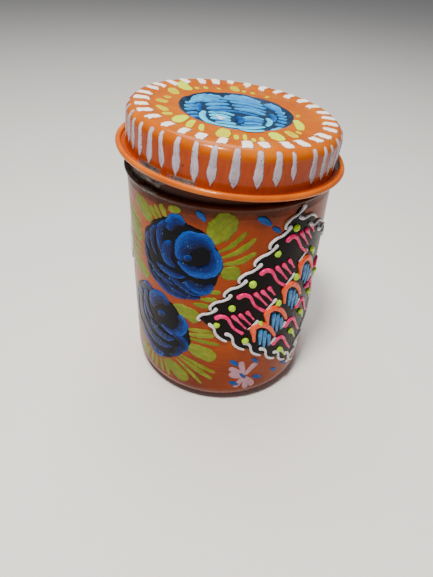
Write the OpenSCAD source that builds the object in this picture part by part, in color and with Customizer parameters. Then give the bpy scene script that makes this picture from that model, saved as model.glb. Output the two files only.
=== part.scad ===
// Hand-painted spice tin: a drawn steel cup with a beaded neck and a pressed slip-on lid.
// Millimetres. The base rests on z = 0, the axis is +Z and the front faces -Y.
// Painted relief is placed by arc length s along the wall (from the front, positive towards +X)
// and by height z.

/* [Tin body] */
// Outside diameter of the straight wall
body_d = 80; // [60:1:120]
// Height of the lid's rim above the base when the lid is closed
seat_z = 99.6; // [60:0.2:160]
// Thickness of the pressed sheet
sheet = 0.4; // [0.3:0.05:0.8]
// Radius of the rounded corner between wall and base
corner_r = 9; // [3:0.5:14]
// Radius of the stop bead that the lid lands on
bead_r = 1.0; // [0.6:0.1:2]
// Height of the neck above the closed rim
neck_h = 6; // [3:0.5:10]
// Radius of the hem rolled into the mouth
hem_r = 0.65; // [0.5:0.05:1.2]

/* [Lid] */
// Height of the lid's top above its rim
lid_h = 14.4; // [11:0.2:24]
// How far the skirt's outside stands in from the body wall
skirt_inset = 0.1; // [0:0.05:1]
// Rounding between the skirt and the top
edge_r = 3.8; // [1:0.1:6]
// How far the rolled rim stands out from the skirt
rim_out = 3.9; // [2.4:0.1:8]
// Radius of the rolled rim
curl_r = 1.05; // [0.7:0.05:2]
// Inside radius of the bend between the skirt and the rim
bend_r = 0.6; // [0.3:0.1:1.5]
// Width of the raised border around the top
border_w = 7.7; // [5:0.1:12]
// Drop from the border to the panel inside it
panel_drop = 0.5; // [0.2:0.1:1.5]
// Diameter of the round recess in the middle
recess_d = 42; // [20:1:60]
// Depth of that recess below the panel
recess_depth = 1.6; // [0.5:0.1:3]
// Angle that the lid sits askew about its right-hand rim; 0 is fully closed
lid_tilt = 4.6; // [0:0.1:8]

/* [Clearances] */
// Radial clearance between the neck and the lid's skirt
neck_gap = 0.55; // [0.3:0.05:1]
// Clearance between the bead and the rim of a closed lid
seat_gap = 0.35; // [0.1:0.05:1]
// Gap left under each layer of paint
film_gap = 0.03; // [0.02:0.01:0.1]

/* [Painted relief] */
// Thickness of flat brushed paint
film_t = 0.2; // [0.1:0.05:0.5]
// Height of the raised trails
trail_t = 0.8; // [0.3:0.1:2]
// Width of the white piping
piping_w = 1.3; // [0.8:0.1:2.5]
// Radius of the lower rose
rose_low_r = 17.6; // [10:0.2:20]
// Radius of the upper rose
rose_up_r = 16.8; // [10:0.2:20]
// Length of the panel's rising edge
panel_up = 58; // [52:1:66]
// Length of the panel's falling edge
panel_down = 56; // [52:1:60]
// Copies of the painted scene around the tin
scene_count = 2; // [1:1:2]
// Strokes around the lid's top
top_strokes = 32; // [20:1:44]
// Strokes around the lid's skirt
skirt_strokes = 39; // [24:1:52]

/* [Hidden] */
$fn = 96;
body_r = body_d / 2;
skirt_r = body_r - skirt_inset;
neck_r = skirt_r - sheet - neck_gap;
rim_r = skirt_r + rim_out;
curl_c = rim_r - curl_r;
bead_z = seat_z - curl_r - seat_gap - bead_r;
neck_top = seat_z + neck_h;
border_r = skirt_r - border_w;
recess_r = recess_d / 2;
panel_h = lid_h - panel_drop;
floor_h = panel_h - recess_depth;
ledge = 1.6;
shoulder = 0.6;
arc = 180 / (PI * body_r);
film_r = body_r + film_gap;
film_out = film_r + film_t;
trail_r = film_out + film_gap;
up_a = 53;
down_a = -35;
panel_left = [-8.6, 47.6];
row = 12.4;
arch_turn = -25;
rose_low = [-31, 36.6];
rose_up = [-18.2, 73.2];
function panel_pt(a, b) = [panel_left[0] + a * cos(up_a) + b * cos(down_a),
                           panel_left[1] + a * sin(up_a) + b * sin(down_a)];
panel_mid = panel_pt(panel_up / 2, panel_down / 2);
edge_steps = 5;
corners = [panel_pt(0, 0), panel_pt(0, panel_down), panel_pt(panel_up, panel_down),
           panel_pt(panel_up, 0)];
// lens-shaped leaves: distance from the rose's centre, direction, length, width
low_leaves = [[24.2, 35, 12, 7], [25.6, -16, 13, 7.6], [26.6, -61, 13, 7.6], [25.6, -110, 9, 6]];
up_leaves = [[24, 138, 12, 7], [25, 172, 13, 7.6], [25, 206, 13, 7.6], [24.4, 45, 12, 8],
             [22, -6, 8, 6.2]];

// ---- helpers ----

module shell(r_in, t, z0, z1) {
    translate([0, 0, z0]) difference() {
        cylinder(h = z1 - z0, r = r_in + t);
        translate([0, 0, -1]) cylinder(h = z1 - z0 + 2, r = r_in);
    }
}

// stands a flat outline out of the wall at one point, for cutting with a shell
module on_wall(p, turn = 0) {
    rotate([0, 0, p[0] * arc]) translate([0, 0, p[1]]) rotate([90, 0, 0]) rotate([0, 0, turn])
        translate([0, 0, body_r - 6]) linear_extrude(10) children();
}

module each_scene() {
    for (k = [0:scene_count - 1]) rotate([0, 0, k * 180]) children();
}

module flat_film() {
    intersection() { children(); shell(film_r, film_t, corner_r, bead_z - bead_r); }
}

module raised_film() {
    intersection() { children(); shell(trail_r, trail_t, corner_r, bead_z - bead_r); }
}

module leaf(len, w) {
    r = (len * len + w * w) / (4 * w);
    intersection() {
        translate([0, r - w / 2]) circle(r);
        translate([0, w / 2 - r]) circle(r);
    }
}

module bar(len, w) {
    square([len - w, w], center = true);
    translate([len / 2 - w / 2, 0]) circle(w / 2);
    translate([w / 2 - len / 2, 0]) circle(w / 2);
}

module lid_place() {
    translate([curl_c, 0, seat_z]) rotate([0, lid_tilt, 0]) translate([-curl_c, 0, 0]) children();
}

// ---- tin body ----

module cup_profile(t) {
    difference() {
        union() {
            translate([0, t]) square([body_r - corner_r, bead_z - t]);
            translate([0, corner_r]) square([body_r - t, bead_z + shoulder - t - corner_r]);
            translate([body_r - corner_r, corner_r]) circle(corner_r - t);
            translate([body_r, bead_z]) circle(bead_r - t);
            translate([0, bead_z - 1]) square([neck_r - t, neck_top - bead_z + 1 + t]);
        }
        translate([-2 * body_r, 0]) square([2 * body_r, 2 * seat_z]);
    }
}

module tin_body() {
    color("#B5480F") rotate_extrude() {
        difference() { cup_profile(0); cup_profile(sheet); }
        translate([neck_r - hem_r, neck_top]) circle(hem_r);
    }
}

// ---- lid, drawn with its rim at z = 0 ----

module top_pressing(t) {
    polygon([[0, lid_h + 1], [border_r + t / 2 + 1, lid_h + 1], [border_r + t / 2 + 0.5, lid_h - t],
             [border_r + t / 2 - 0.4, panel_h - t], [recess_r + t / 2, panel_h - t],
             [recess_r + t / 2 - ledge, floor_h - t], [0, floor_h - t]]);
}

module cap_profile(t) {
    difference() {
        union() {
            square([skirt_r - edge_r, lid_h - t]);
            translate([0, -curl_r - t]) square([skirt_r - t, lid_h - edge_r + curl_r + t]);
            translate([skirt_r - edge_r, lid_h - edge_r]) circle(edge_r - t);
        }
        top_pressing(t);
        translate([-edge_r, 0]) square([edge_r, lid_h]);
    }
}

module rim_profile() {
    bend_h = bend_r + sheet - curl_r;
    translate([skirt_r + bend_r, bend_h]) intersection() {
        difference() { circle(bend_r + sheet); circle(bend_r); }
        translate([-2 * curl_r, -2 * curl_r]) square(2 * curl_r);
    }
    translate([skirt_r + bend_r - 0.01, -curl_r]) square([rim_out - curl_r - bend_r + 0.02, sheet]);
    translate([curl_c, 0]) difference() {
        circle(curl_r);
        circle(curl_r - sheet);
        translate([-2 * curl_r, sheet - curl_r]) square([2 * curl_r, curl_r - sheet]);
    }
}

module lid_cap() {
    lift = bend_r + sheet - curl_r;
    color("#E27A1E") lid_place() rotate_extrude() {
        difference() {
            cap_profile(0);
            cap_profile(sheet);
            translate([0, -2 * curl_r]) square([skirt_r + 1, lift + 2 * curl_r - 0.01]);
        }
        rim_profile();
    }
}

// ---- black panel and its raised trails ----

module black_panels() {
    pts = [for (i = [0:3], k = [0:edge_steps - 1])
           corners[i] + (corners[(i + 1) % 4] - corners[i]) * k / edge_steps];
    color("#1A0F10") flat_film() each_scene()
        rotate([0, 0, panel_mid[0] * arc]) rotate([90, 0, 0]) linear_extrude(2 * body_r)
            polygon([for (p = pts) [body_r * sin((p[0] - panel_mid[0]) * arc), p[1]]]);
}

// one scallop of the border: a hooked arc with a drop at its inner end
module scallop() {
    difference() {
        circle(2.9);
        circle(2.9 - piping_w);
        translate([-4, -8]) square(8);
    }
    translate([2.9 - piping_w / 2, 0]) circle(piping_w * 0.75);
}

module piping_edge(a0, b0, a1, b1, count, turn) {
    for (i = [0:count - 1]) {
        f = (i + 0.5) / count;
        on_wall(panel_pt(a0 + (a1 - a0) * f, b0 + (b1 - b0) * f), turn) scallop();
    }
}

module white_piping() {
    color("#DCDCE0") raised_film() each_scene() {
        piping_edge(1.5, 0.4, panel_up - 1.5, 0.4, 7, up_a);
        piping_edge(panel_up - 0.4, 1.5, panel_up - 0.4, panel_down - 1.5, 6, down_a);
        piping_edge(panel_up - 1.5, panel_down - 0.4, 1.5, panel_down - 0.4, 7, up_a + 180);
        piping_edge(0.4, panel_down - 1.5, 0.4, 1.5, 6, down_a + 180);
    }
}

module pink_trails() {
    color("#F0348A") raised_film() each_scene() {
        for (i = [0:3]) on_wall(panel_pt(8 + row * i, 12), -47) bar(11, 1.5);
        for (i = [0:3], j = [0:2])
            on_wall(panel_pt(11 + row * i + 2.3 * j, 13.4 + 0.8 * j), -52) bar(8 - 1.5 * j, 1.2);
        for (i = [0:4]) on_wall(panel_pt(7.8 + 10 * i, 45.6), -54) bar(11, 1.5);
    }
}

module lime_dots() {
    color("#B6F000") raised_film() each_scene() {
        for (i = [0:4]) on_wall(panel_pt(3.6 + row * i, 5.6)) circle(1.4);
        for (i = [0:3]) on_wall(panel_pt(3.4 + 11.8 * i, 22)) circle(1.4);
        for (i = [0:4]) on_wall(panel_pt(3.2 + 10 * i, 47), -45) bar(8, 1.6);
    }
}

function arch_at(i) = panel_pt(9 + row * i, 28);

module orange_arches() {
    color("#FF6A3C") raised_film() each_scene()
        for (i = [0:3]) on_wall(arch_at(i), arch_turn) difference() {
            circle(5.6);
            circle(4.4);
            translate([-7, -13]) square([14, 12]);
        }
}

module blue_ribs() {
    color("#4A90C8") raised_film() each_scene()
        for (i = [0:3], j = [-1:1])
            on_wall(arch_at(i), arch_turn) translate([2.1 * j, -2]) rotate(90 - arch_turn) bar(6, 1.2);
}

// ---- flat brushed flowers and leaves ----

module rose_grounds() {
    color("#1A3A9A") flat_film() each_scene() {
        on_wall(rose_low) circle(rose_low_r);
        on_wall(rose_up) circle(rose_up_r);
    }
}

module leaf_ring(centre, grow, leaves) {
    for (l = leaves) let (d = l[0] + grow)
        on_wall([centre[0] + d * cos(l[1]), centre[1] + d * sin(l[1])], l[1]) leaf(l[2], l[3]);
}

module green_leaves() {
    color("#9CB23E") flat_film() each_scene() {
        leaf_ring(rose_low, rose_low_r - 17.6, low_leaves);
        leaf_ring(rose_up, rose_up_r - 16.8, up_leaves);
    }
}

module pale_flowers() {
    color("#B98A92") flat_film() each_scene()
        for (a = [52, 88, 126]) on_wall([11.5 + 4 * cos(a), 16 + 4 * sin(a)], a) bar(8, 2.2);
}

// ---- paint on the lid ----

module lid_rose() {
    color("#4FA8E0") lid_place() translate([0, 0, floor_h + film_gap])
        cylinder(h = film_t, r = recess_r - ledge - 0.4);
}

module lid_leaves() {
    color("#C3CC3A") lid_place() translate([0, 0, panel_h + film_gap]) linear_extrude(film_t)
        for (a = [-128, -98, -62, -30, 92, 122, 150, 178])
            rotate(a) translate([(recess_r + border_r) / 2, 0]) bar(min(7, border_r - recess_r - 2), 3);
}

module lid_top_strokes() {
    inner = border_r + 1.2;
    outer = skirt_r - edge_r;
    color("#F4EEF2") lid_place() translate([0, 0, lid_h + film_gap]) linear_extrude(film_t)
        for (i = [0:top_strokes - 1])
            rotate(i * 360 / top_strokes) translate([(inner + outer) / 2, 0])
                square([outer - inner, 2.8], center = true);
}

module lid_skirt_strokes() {
    low = bend_r + 1.4;
    high = lid_h - edge_r;
    color("#C9C0CE") lid_place() intersection() {
        shell(skirt_r + film_gap, film_t, low, high);
        for (i = [0:skirt_strokes - 1])
            rotate([0, 0, i * 360 / skirt_strokes]) translate([0, 2 - skirt_r, 0]) rotate([90, 0, 0])
                linear_extrude(4) polygon([[0, low - 1], [1.5, low + 3], [1.3, high + 1],
                                           [-1.3, high + 1], [-1.5, low + 3]]);
    }
}

tin_body();
lid_cap();
black_panels();
white_piping();
pink_trails();
lime_dots();
orange_arches();
blue_ribs();
rose_grounds();
green_leaves();
pale_flowers();
lid_rose();
lid_leaves();
lid_top_strokes();
lid_skirt_strokes();
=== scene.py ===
import math
import random

import bpy
import numpy as np
from mathutils import Matrix, Vector, noise


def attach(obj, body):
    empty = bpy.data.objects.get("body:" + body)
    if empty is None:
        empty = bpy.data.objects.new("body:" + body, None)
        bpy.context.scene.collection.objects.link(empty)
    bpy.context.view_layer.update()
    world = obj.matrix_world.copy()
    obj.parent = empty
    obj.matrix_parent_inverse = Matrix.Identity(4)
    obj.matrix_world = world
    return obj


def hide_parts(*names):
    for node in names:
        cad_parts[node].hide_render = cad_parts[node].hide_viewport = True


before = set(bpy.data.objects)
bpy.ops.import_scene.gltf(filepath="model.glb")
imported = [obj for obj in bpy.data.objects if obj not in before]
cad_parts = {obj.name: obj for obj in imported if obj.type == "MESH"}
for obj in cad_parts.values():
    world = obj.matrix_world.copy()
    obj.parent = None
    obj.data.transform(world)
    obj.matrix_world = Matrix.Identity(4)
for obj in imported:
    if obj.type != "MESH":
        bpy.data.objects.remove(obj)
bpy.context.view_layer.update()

# ---------------------------------------------------------------- sizes, millimetres

MM = 0.001
SHEET = 0.4
BODY_R = 40.0                    # the straight wall
CORNER_R = 9.0                   # the rounded foot
RIDGE = ((92.2, 0), (92.7, 0.05), (93.1, 0.1), (93.5, 0.05), (94.0, 0))  # height and bulge of built-up paint
BEAD_R, BEAD_Z = 1.0, 97.2       # the stop bead
NECK_R = 38.95
HEM_R, HEM_Z = 0.65, 105.6       # the hem at the mouth
SEAT_Z = 99.6                    # the seated lid's rim
SKIRT_R = 39.9
EDGE_R = 3.8                     # the lid's rounded edge
LID_H = 14.4
EDGE_Z = LID_H - EDGE_R
CURL_R, CURL_C = 1.05, 42.75     # the rolled rim's wire radius and the circle that its middle runs on
BORDER_R = 32.2                  # the step from the lid's border down to its panel
LID_TILT = math.radians(4.6)
UP, DOWN = math.radians(53), math.radians(-35)   # the black panel's two edge directions
PANEL_LEFT = (-8.6, 47.6)
PANEL_UP, PANEL_DOWN = 58.0, 56.0
UPPER_ROSE, LOWER_ROSE = (-18.2, 73.2), (-31.0, 36.6)


# ---------------------------------------------------------------- colour and node helpers

def tint(code):
    """An sRGB hex colour as linear RGBA."""
    rgb = [int(code[i:i + 2], 16) / 255 for i in (1, 3, 5)]
    return [c / 12.92 if c <= 0.04045 else ((c + 0.055) / 1.055) ** 2.4 for c in rgb] + [1.0]


def put(tree, kind, *values, out=0, stops=(), **settings):
    """Adds one node with its settings and links, and returns its output (out=None: all of them).
    Values fill the inputs in order, or by name when they come as one dict; stops colour a ramp."""
    whole = kind.startswith(("Geometry", "Function", "NodeGroup"))
    node = tree.nodes.new(kind if whole else "ShaderNode" + kind)
    for key, value in settings.items():
        setattr(node, key, value)
    for key, value in values[0].items() if values and isinstance(values[0], dict) else enumerate(values):
        if isinstance(value, bpy.types.NodeSocket):
            tree.links.new(value, node.inputs[key])
        else:
            node.inputs[key].default_value = value
    for index, (place, colour) in enumerate(stops):
        marks = node.color_ramp.elements
        mark = marks[index] if index < len(marks) else marks.new(place)
        mark.position, mark.color = place, tint(colour)
    return node.outputs if out is None else node.outputs[out]


# ---------------------------------------------------------------- surfaces that paint lies on

def on_wall(u, v, off):
    """Arc length u and height v on the tin's wall, off outwards, to metres."""
    a = u / BODY_R
    r = BODY_R + off + np.interp(v, *zip(*RIDGE))
    return np.stack([r * np.sin(a), -r * np.cos(a), v + 0 * u], -1) * MM


def seat_lid(p):
    """The closed lid's own frame, rim at height 0, to the askew lid, in millimetres."""
    x, y, h = p[..., 0] - CURL_C, p[..., 1], p[..., 2]
    c, s = math.cos(LID_TILT), math.sin(LID_TILT)
    return np.stack([x * c + h * s + CURL_C, y, h * c - x * s + SEAT_Z], -1)


# radius and height of the lid's top: the recess floor, its wall, the panel, the step up to the border
TOP_LINE = np.array([(0, 12.30), (12, 12.30), (18.6, 12.32), (19.2, 12.40), (19.7, 12.62), (20.5, 13.25),
                     (20.9, 13.60), (21.4, 13.84), (22.0, 13.92), (25, 13.95), (29.5, 13.93), (31.2, 13.92),
                     (31.8, 14.0), (32.4, 14.22), (33.0, 14.37), (33.6, 14.40), (36.1, 14.40)])


def top_height(r):
    """Height of the lid's top at radius r, down over its rounded edge."""
    run = np.clip(r - (SKIRT_R - EDGE_R), 0, EDGE_R * 0.98)
    return np.interp(r, TOP_LINE[:, 0], TOP_LINE[:, 1]) + np.sqrt(EDGE_R ** 2 - run ** 2) - EDGE_R


def on_lid(u, v, off):
    """x = u and y = v on the lid's top, off square to the sheet, to metres."""
    r = np.hypot(u, v)
    slope = (top_height(r + 0.1) - top_height(r - 0.1)) / 0.2
    square = off / np.sqrt(1 + slope ** 2)
    inwards = slope * square / np.maximum(r, 0.5)
    return seat_lid(np.stack([u - u * inwards, v - v * inwards, top_height(r) + square], -1)) * MM


# ---------------------------------------------------------------- brushed paint

def smooth_path(points, step):
    """A smooth line through the points, sampled about every step, with its length."""
    p = np.array(points, float)
    if len(p) == 2:
        p = np.array([p[0], (p[0] + p[1]) / 2, p[1]])
    p = np.vstack([2 * p[0] - p[1], p, 2 * p[-1] - p[-2]])
    out = []
    for a, b, c, d in zip(p[:-3], p[1:-2], p[2:-1], p[3:]):
        for t in np.linspace(0, 1, 16, endpoint=False):
            out.append(0.5 * (2 * b + (c - a) * t + (2 * a - 5 * b + 4 * c - d) * t * t
                              + (3 * b - a - 3 * c + d) * t ** 3))
    out = np.array(out + [p[-2]])
    run = np.concatenate([[0], np.cumsum(np.linalg.norm(np.diff(out, axis=0), axis=1))])
    s = np.linspace(0, run[-1], max(7, int(run[-1] / step) + 1))
    return np.stack([np.interp(s, run, out[:, k]) for k in (0, 1)], 1), s / run[-1], run[-1]


def wander(values, size, seed):
    """Slow repeatable noise along a list of lengths, about -1 to 1."""
    return np.array([noise.noise(Vector((v / size, seed * 7.31, 0.5))) for v in values]) * 1.6


def give(mesh, key, data):
    """Stores a value, or a place, for every vertex."""
    vector = data.ndim == 2
    layer = mesh.attributes.new(key, "FLOAT_VECTOR" if vector else "FLOAT", "POINT")
    layer.data.foreach_set("vector" if vector else "value", data.ravel())


class Coat:
    """Thin closed films of paint that share one surface, one material and one body."""

    def __init__(self, name, surface):
        self.name, self.surface, self.faces, self.count = name, surface, [], 0
        self.verts, self.grain, self.cross, self.along, self.tone = [], [], [], [], []

    def _keep(self, verts, faces, grain, cross, along, tone):
        """Adds one film: its shape, the brush's own coordinates and how light it is."""
        base = sum(len(v) for v in self.verts)
        self.faces += [tuple(base + i for i in f) for f in faces]
        for rows, new in ((self.verts, verts), (self.grain, grain), (self.cross, cross), (self.along, along),
                          (self.tone, np.full(len(verts), tone))):
            rows.append(new)
        self.count += 1

    def stroke(self, points, width, tone=0.5, lift=0.06, crown=0.1, shape=(0.5, 1.0, 0.9, 0.35),
               ragged=0.05, lanes=9, step=0.5, centre=None):
        """One brush stroke along points; shape is its width from start to end, as shares of width.
        With a centre, the side away from it carries the loaded, brighter edge."""
        seed = self.count + len(self.name) * 3.7
        path, t, length = smooth_path(points, step)
        way = np.gradient(path, axis=0)
        way /= np.linalg.norm(way, axis=1)[:, None] + 1e-9
        side = np.stack([-way[:, 1], way[:, 0]], 1)
        run, rows, k = t * length, len(t), lanes
        # rounded ends
        cap0, cap1 = (max(0.25, width * 0.42 * end) for end in (shape[0], shape[-1]))
        near, far = np.clip(run / cap0, 0, 1), np.clip((length - run) / cap1, 0, 1)
        cap = np.maximum(np.sqrt(1 - (1 - near) ** 2) * np.sqrt(1 - (1 - far) ** 2), 0.04)
        # ragged sides and a domed film with a ridge for each lane
        half = width / 2 * np.interp(t, np.linspace(0, 1, len(shape)), shape) * cap
        x = np.linspace(-1, 1, lanes)
        left, right = (half * (1 + ragged * wander(run, size, seed + more))
                       for size, more in ((1.3, 0), (1.1, 50)))
        across = np.where(x[None, :] < 0, left[:, None], right[:, None]) * x[None, :]
        ridge = np.array([wander(run / 6, 1.0, seed + 9 * lane) for lane in range(lanes)]).T
        dome = np.sqrt(1 - x ** 2)[None, :]
        off = lift + crown * dome * (1 + 0.35 * ridge) * cap[:, None] ** 0.5
        bottom = lift - 0.05
        off[:, 0] = off[:, -1] = bottom
        off[0, :] = off[-1, :] = bottom
        u, v = (path[:, axis:axis + 1] + side[:, axis:axis + 1] * across for axis in (0, 1))
        u_low, v_low = u[1:-1, 1:-1].ravel(), v[1:-1, 1:-1].ravel()
        verts = np.vstack([self.surface(u.ravel(), v.ravel(), off.ravel()),
                           self.surface(u_low, v_low, np.full(len(u_low), bottom))])

        def under(i, j):
            """The lower side's vertex; round the edge it is the upper side's own."""
            return i * k + j if i in (0, rows - 1) or j in (0, k - 1) else rows * k + (i - 1) * (k - 2) + j - 1

        cells = [(i, j) for i in range(rows - 1) for j in range(k - 1)]
        faces = [(i * k + j, (i + 1) * k + j, (i + 1) * k + j + 1, i * k + j + 1) for i, j in cells]
        faces += [(under(i, j), under(i, j + 1), under(i + 1, j + 1), under(i + 1, j)) for i, j in cells]
        bright = np.broadcast_to(x, (rows, k))
        if centre is not None and np.sum(side * (path - np.array(centre))) < 0:
            bright = -bright
        runs, shares = (np.repeat(part, k).reshape(rows, k) for part in (run, t))
        grain = np.stack([runs, across, np.full((rows, k), seed % 13)], -1) * MM
        grain, bright, shares = (np.concatenate([part.reshape((rows * k,) + part.shape[2:]),
                                                 part[1:-1, 1:-1].reshape((-1,) + part.shape[2:])])
                                 for part in (grain, bright, shares))
        self._keep(verts, faces, grain, bright, shares, tone)

    def patch(self, outline, centre, tone=0.5, lift=0.03, thick=0.1, rings=26):
        """A film inside a closed outline that can be seen whole from its centre."""
        edge, mid = np.array(outline, float), np.array(centre, float)
        if np.sum(edge[:, 0] * np.roll(edge[:, 1], -1) - edge[:, 1] * np.roll(edge[:, 0], -1)) < 0:
            edge = edge[::-1]
        n, rows = len(edge), rings
        reach = np.concatenate([np.linspace(0, 1, rings)[1:] * 0.985, [1.0]])
        p = np.vstack([mid[None, :]] + [mid + (edge - mid) * k for k in reach])
        # the outermost ring dips to the edge
        off = np.concatenate([np.full(1, lift + thick)]
                             + [np.full(n, lift + thick * (1 if k < 0.99 else -0.6)) for k in reach])
        m = len(p)
        verts = np.vstack([self.surface(p[:, 0], p[:, 1], off),
                           self.surface(p[:-n, 0], p[:-n, 1], off[:-n] - thick - 0.07)])
        turn = [(i, (i + 1) % n) for i in range(n)]
        faces = [(0, 1 + i, 1 + j) for i, j in turn]
        faces += [(a + i, a + n + i, a + n + j, a + j) for a in range(1, 1 + (rows - 1) * n, n) for i, j in turn]
        faces += [(m, m + 1 + j, m + 1 + i) for i, j in turn]
        for k in range(rows - 1):
            a = m + 1 + k * n
            b = a + n if k < rows - 2 else 1 + (rows - 1) * n
            faces += [(a + i, a + j, b + j, b + i) for i, j in turn]
        both = np.vstack([p, p[:-n]])
        grain = np.concatenate([both, np.full((len(both), 1), 3.0)], 1) * MM
        share = np.concatenate([[0]] + [np.full(n, k) for k in reach])
        share = np.concatenate([share, share[:-n]])
        self._keep(verts, faces, grain, share, share, tone)

    def repeat_behind(self):
        """Copies everything half a turn round the tin's axis."""
        base = sum(len(v) for v in self.verts)
        self.verts.append(np.vstack(self.verts) * np.array([-1, -1, 1]))
        self.faces += [tuple(base + i for i in f) for f in self.faces]
        for part in (self.grain, self.cross, self.along, self.tone):
            part.append(np.concatenate(part))

    def build(self, material, body, nodes=(), slot=None):
        mesh = bpy.data.meshes.new(self.name)
        mesh.from_pydata(np.vstack(self.verts).tolist(), [], self.faces)
        for key in ("grain", "cross", "along", "tone"):
            give(mesh, key, np.concatenate(getattr(self, key)))
        return finish_piece(mesh, self.name, material, body, nodes)


def finish_piece(mesh, name, material, body, nodes=(), smooth=True):
    """Makes the mesh a finished piece that rides on its body."""
    mesh.validate()
    mesh.materials.clear()
    mesh.materials.append(material)
    mesh.polygons.foreach_set("use_smooth", [smooth] * len(mesh.polygons))
    mesh.update()
    piece = bpy.data.objects.new(name, mesh)
    bpy.context.scene.collection.objects.link(piece)
    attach(piece, body)
    if nodes:
        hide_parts(*nodes)
    return piece


# ---------------------------------------------------------------- materials

def new_material(name):
    m = bpy.data.materials.new(name)
    m.use_nodes = True
    return m, m.node_tree, m.node_tree.nodes["Principled BSDF"]


def wire(tree, shader, **sockets):
    """Links or sets the shader's own sockets, named with underscores for spaces."""
    for key, value in sockets.items():
        socket = shader.inputs[key.replace("_", " ")]
        if isinstance(value, bpy.types.NodeSocket):
            tree.links.new(value, socket)
        else:
            socket.default_value = value


def mottle(t, coords, size_mm, detail=4.0, rough=0.6, seed=0.0, stretch=(1, 1, 1)):
    """Cloudy variation in patches about size_mm across, drawn out where stretch is below 1."""
    scale = [1000.0 / size_mm * s for s in stretch]
    moved = put(t, "Mapping", {"Vector": coords, "Scale": scale, "Location": (seed, seed * 0.7, seed * 1.3)})
    return put(t, "TexNoise", {"Vector": moved, "Scale": 1.0, "Detail": detail, "Roughness": rough}, out="Fac")


def spots(t, place, spacing_mm, size, cluster_mm, cluster, seed):
    """Round spots, about one to every spacing_mm, kept to clusters about cluster_mm across. size gives
    the edge and the core as shares of the spacing; cluster gives where the clusters fade in."""
    gap = put(t, "TexVoronoi", {"Vector": place, "Scale": 1000.0 / spacing_mm}, out="Distance", feature="F1")
    where = put(t, "MapRange", mottle(t, place, cluster_mm, 2.0, 0.5, seed), *cluster)
    return put(t, "Math", put(t, "MapRange", gap, *size), where, operation="MULTIPLY")


def hand_made(t, coarse, coarse_mm, coarse_strength, fine, fine_mm, fine_strength, chipped=None,
              chip_mm=0.0):
    """Relief in up to three depths in millimetres: slow waves, fine marks over them and, where paint is
    missing, a step down."""
    relief = put(t, "Bump", {"Height": coarse, "Distance": coarse_mm * MM, "Strength": coarse_strength})
    relief = put(t, "Bump", {"Height": fine, "Distance": fine_mm * MM, "Strength": fine_strength,
                             "Normal": relief})
    if chipped is not None:
        relief = put(t, "Bump", {"Height": chipped, "Distance": -chip_mm * MM, "Strength": 0.8, "Normal": relief})
    return relief


def painted_shade(t, place, colour):
    """Painted shade: darker towards the foot, and a painted shadow in the band under the lid's rim."""
    height = put(t, "SeparateXYZ", place, out=2)
    wavy_height = put(t, "Math", mottle(t, place, 7.0, 4.0, 0.6, 33.0), 0.012, height, operation="MULTIPLY_ADD")
    # painted shade: darker towards the foot
    foot = put(t, "MapRange", wavy_height, 0.050, 0.006, 0.0, 0.45)
    # painted shadow: the band under the lid's rim
    band = put(t, "MapRange", wavy_height, 0.0955, 0.1015, 0.0, 0.8)
    rim_shadow = put(t, "Math", band, put(t, "MapRange", height, 0.1065, 0.1060), operation="MULTIPLY")
    shade_amount = put(t, "Math", foot, rim_shadow, operation="MAXIMUM")
    return put(t, "Mix", {0: shade_amount, 6: colour, 7: tint("#1A0800")}, out=2, data_type="RGBA")


def angle_round(t, x, y):
    """Angle round the axis, nought at the front and growing to the right."""
    return put(t, "Math", x, put(t, "Math", y, -1.0, operation="MULTIPLY"), operation="ARCTAN2")


def between(t, angle, start, stop):
    """One between two angles, each with a soft edge."""
    after, before = (put(t, "MapRange", angle, *ends) for ends in (start, stop))
    return put(t, "Math", after, before, operation="MULTIPLY")


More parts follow.
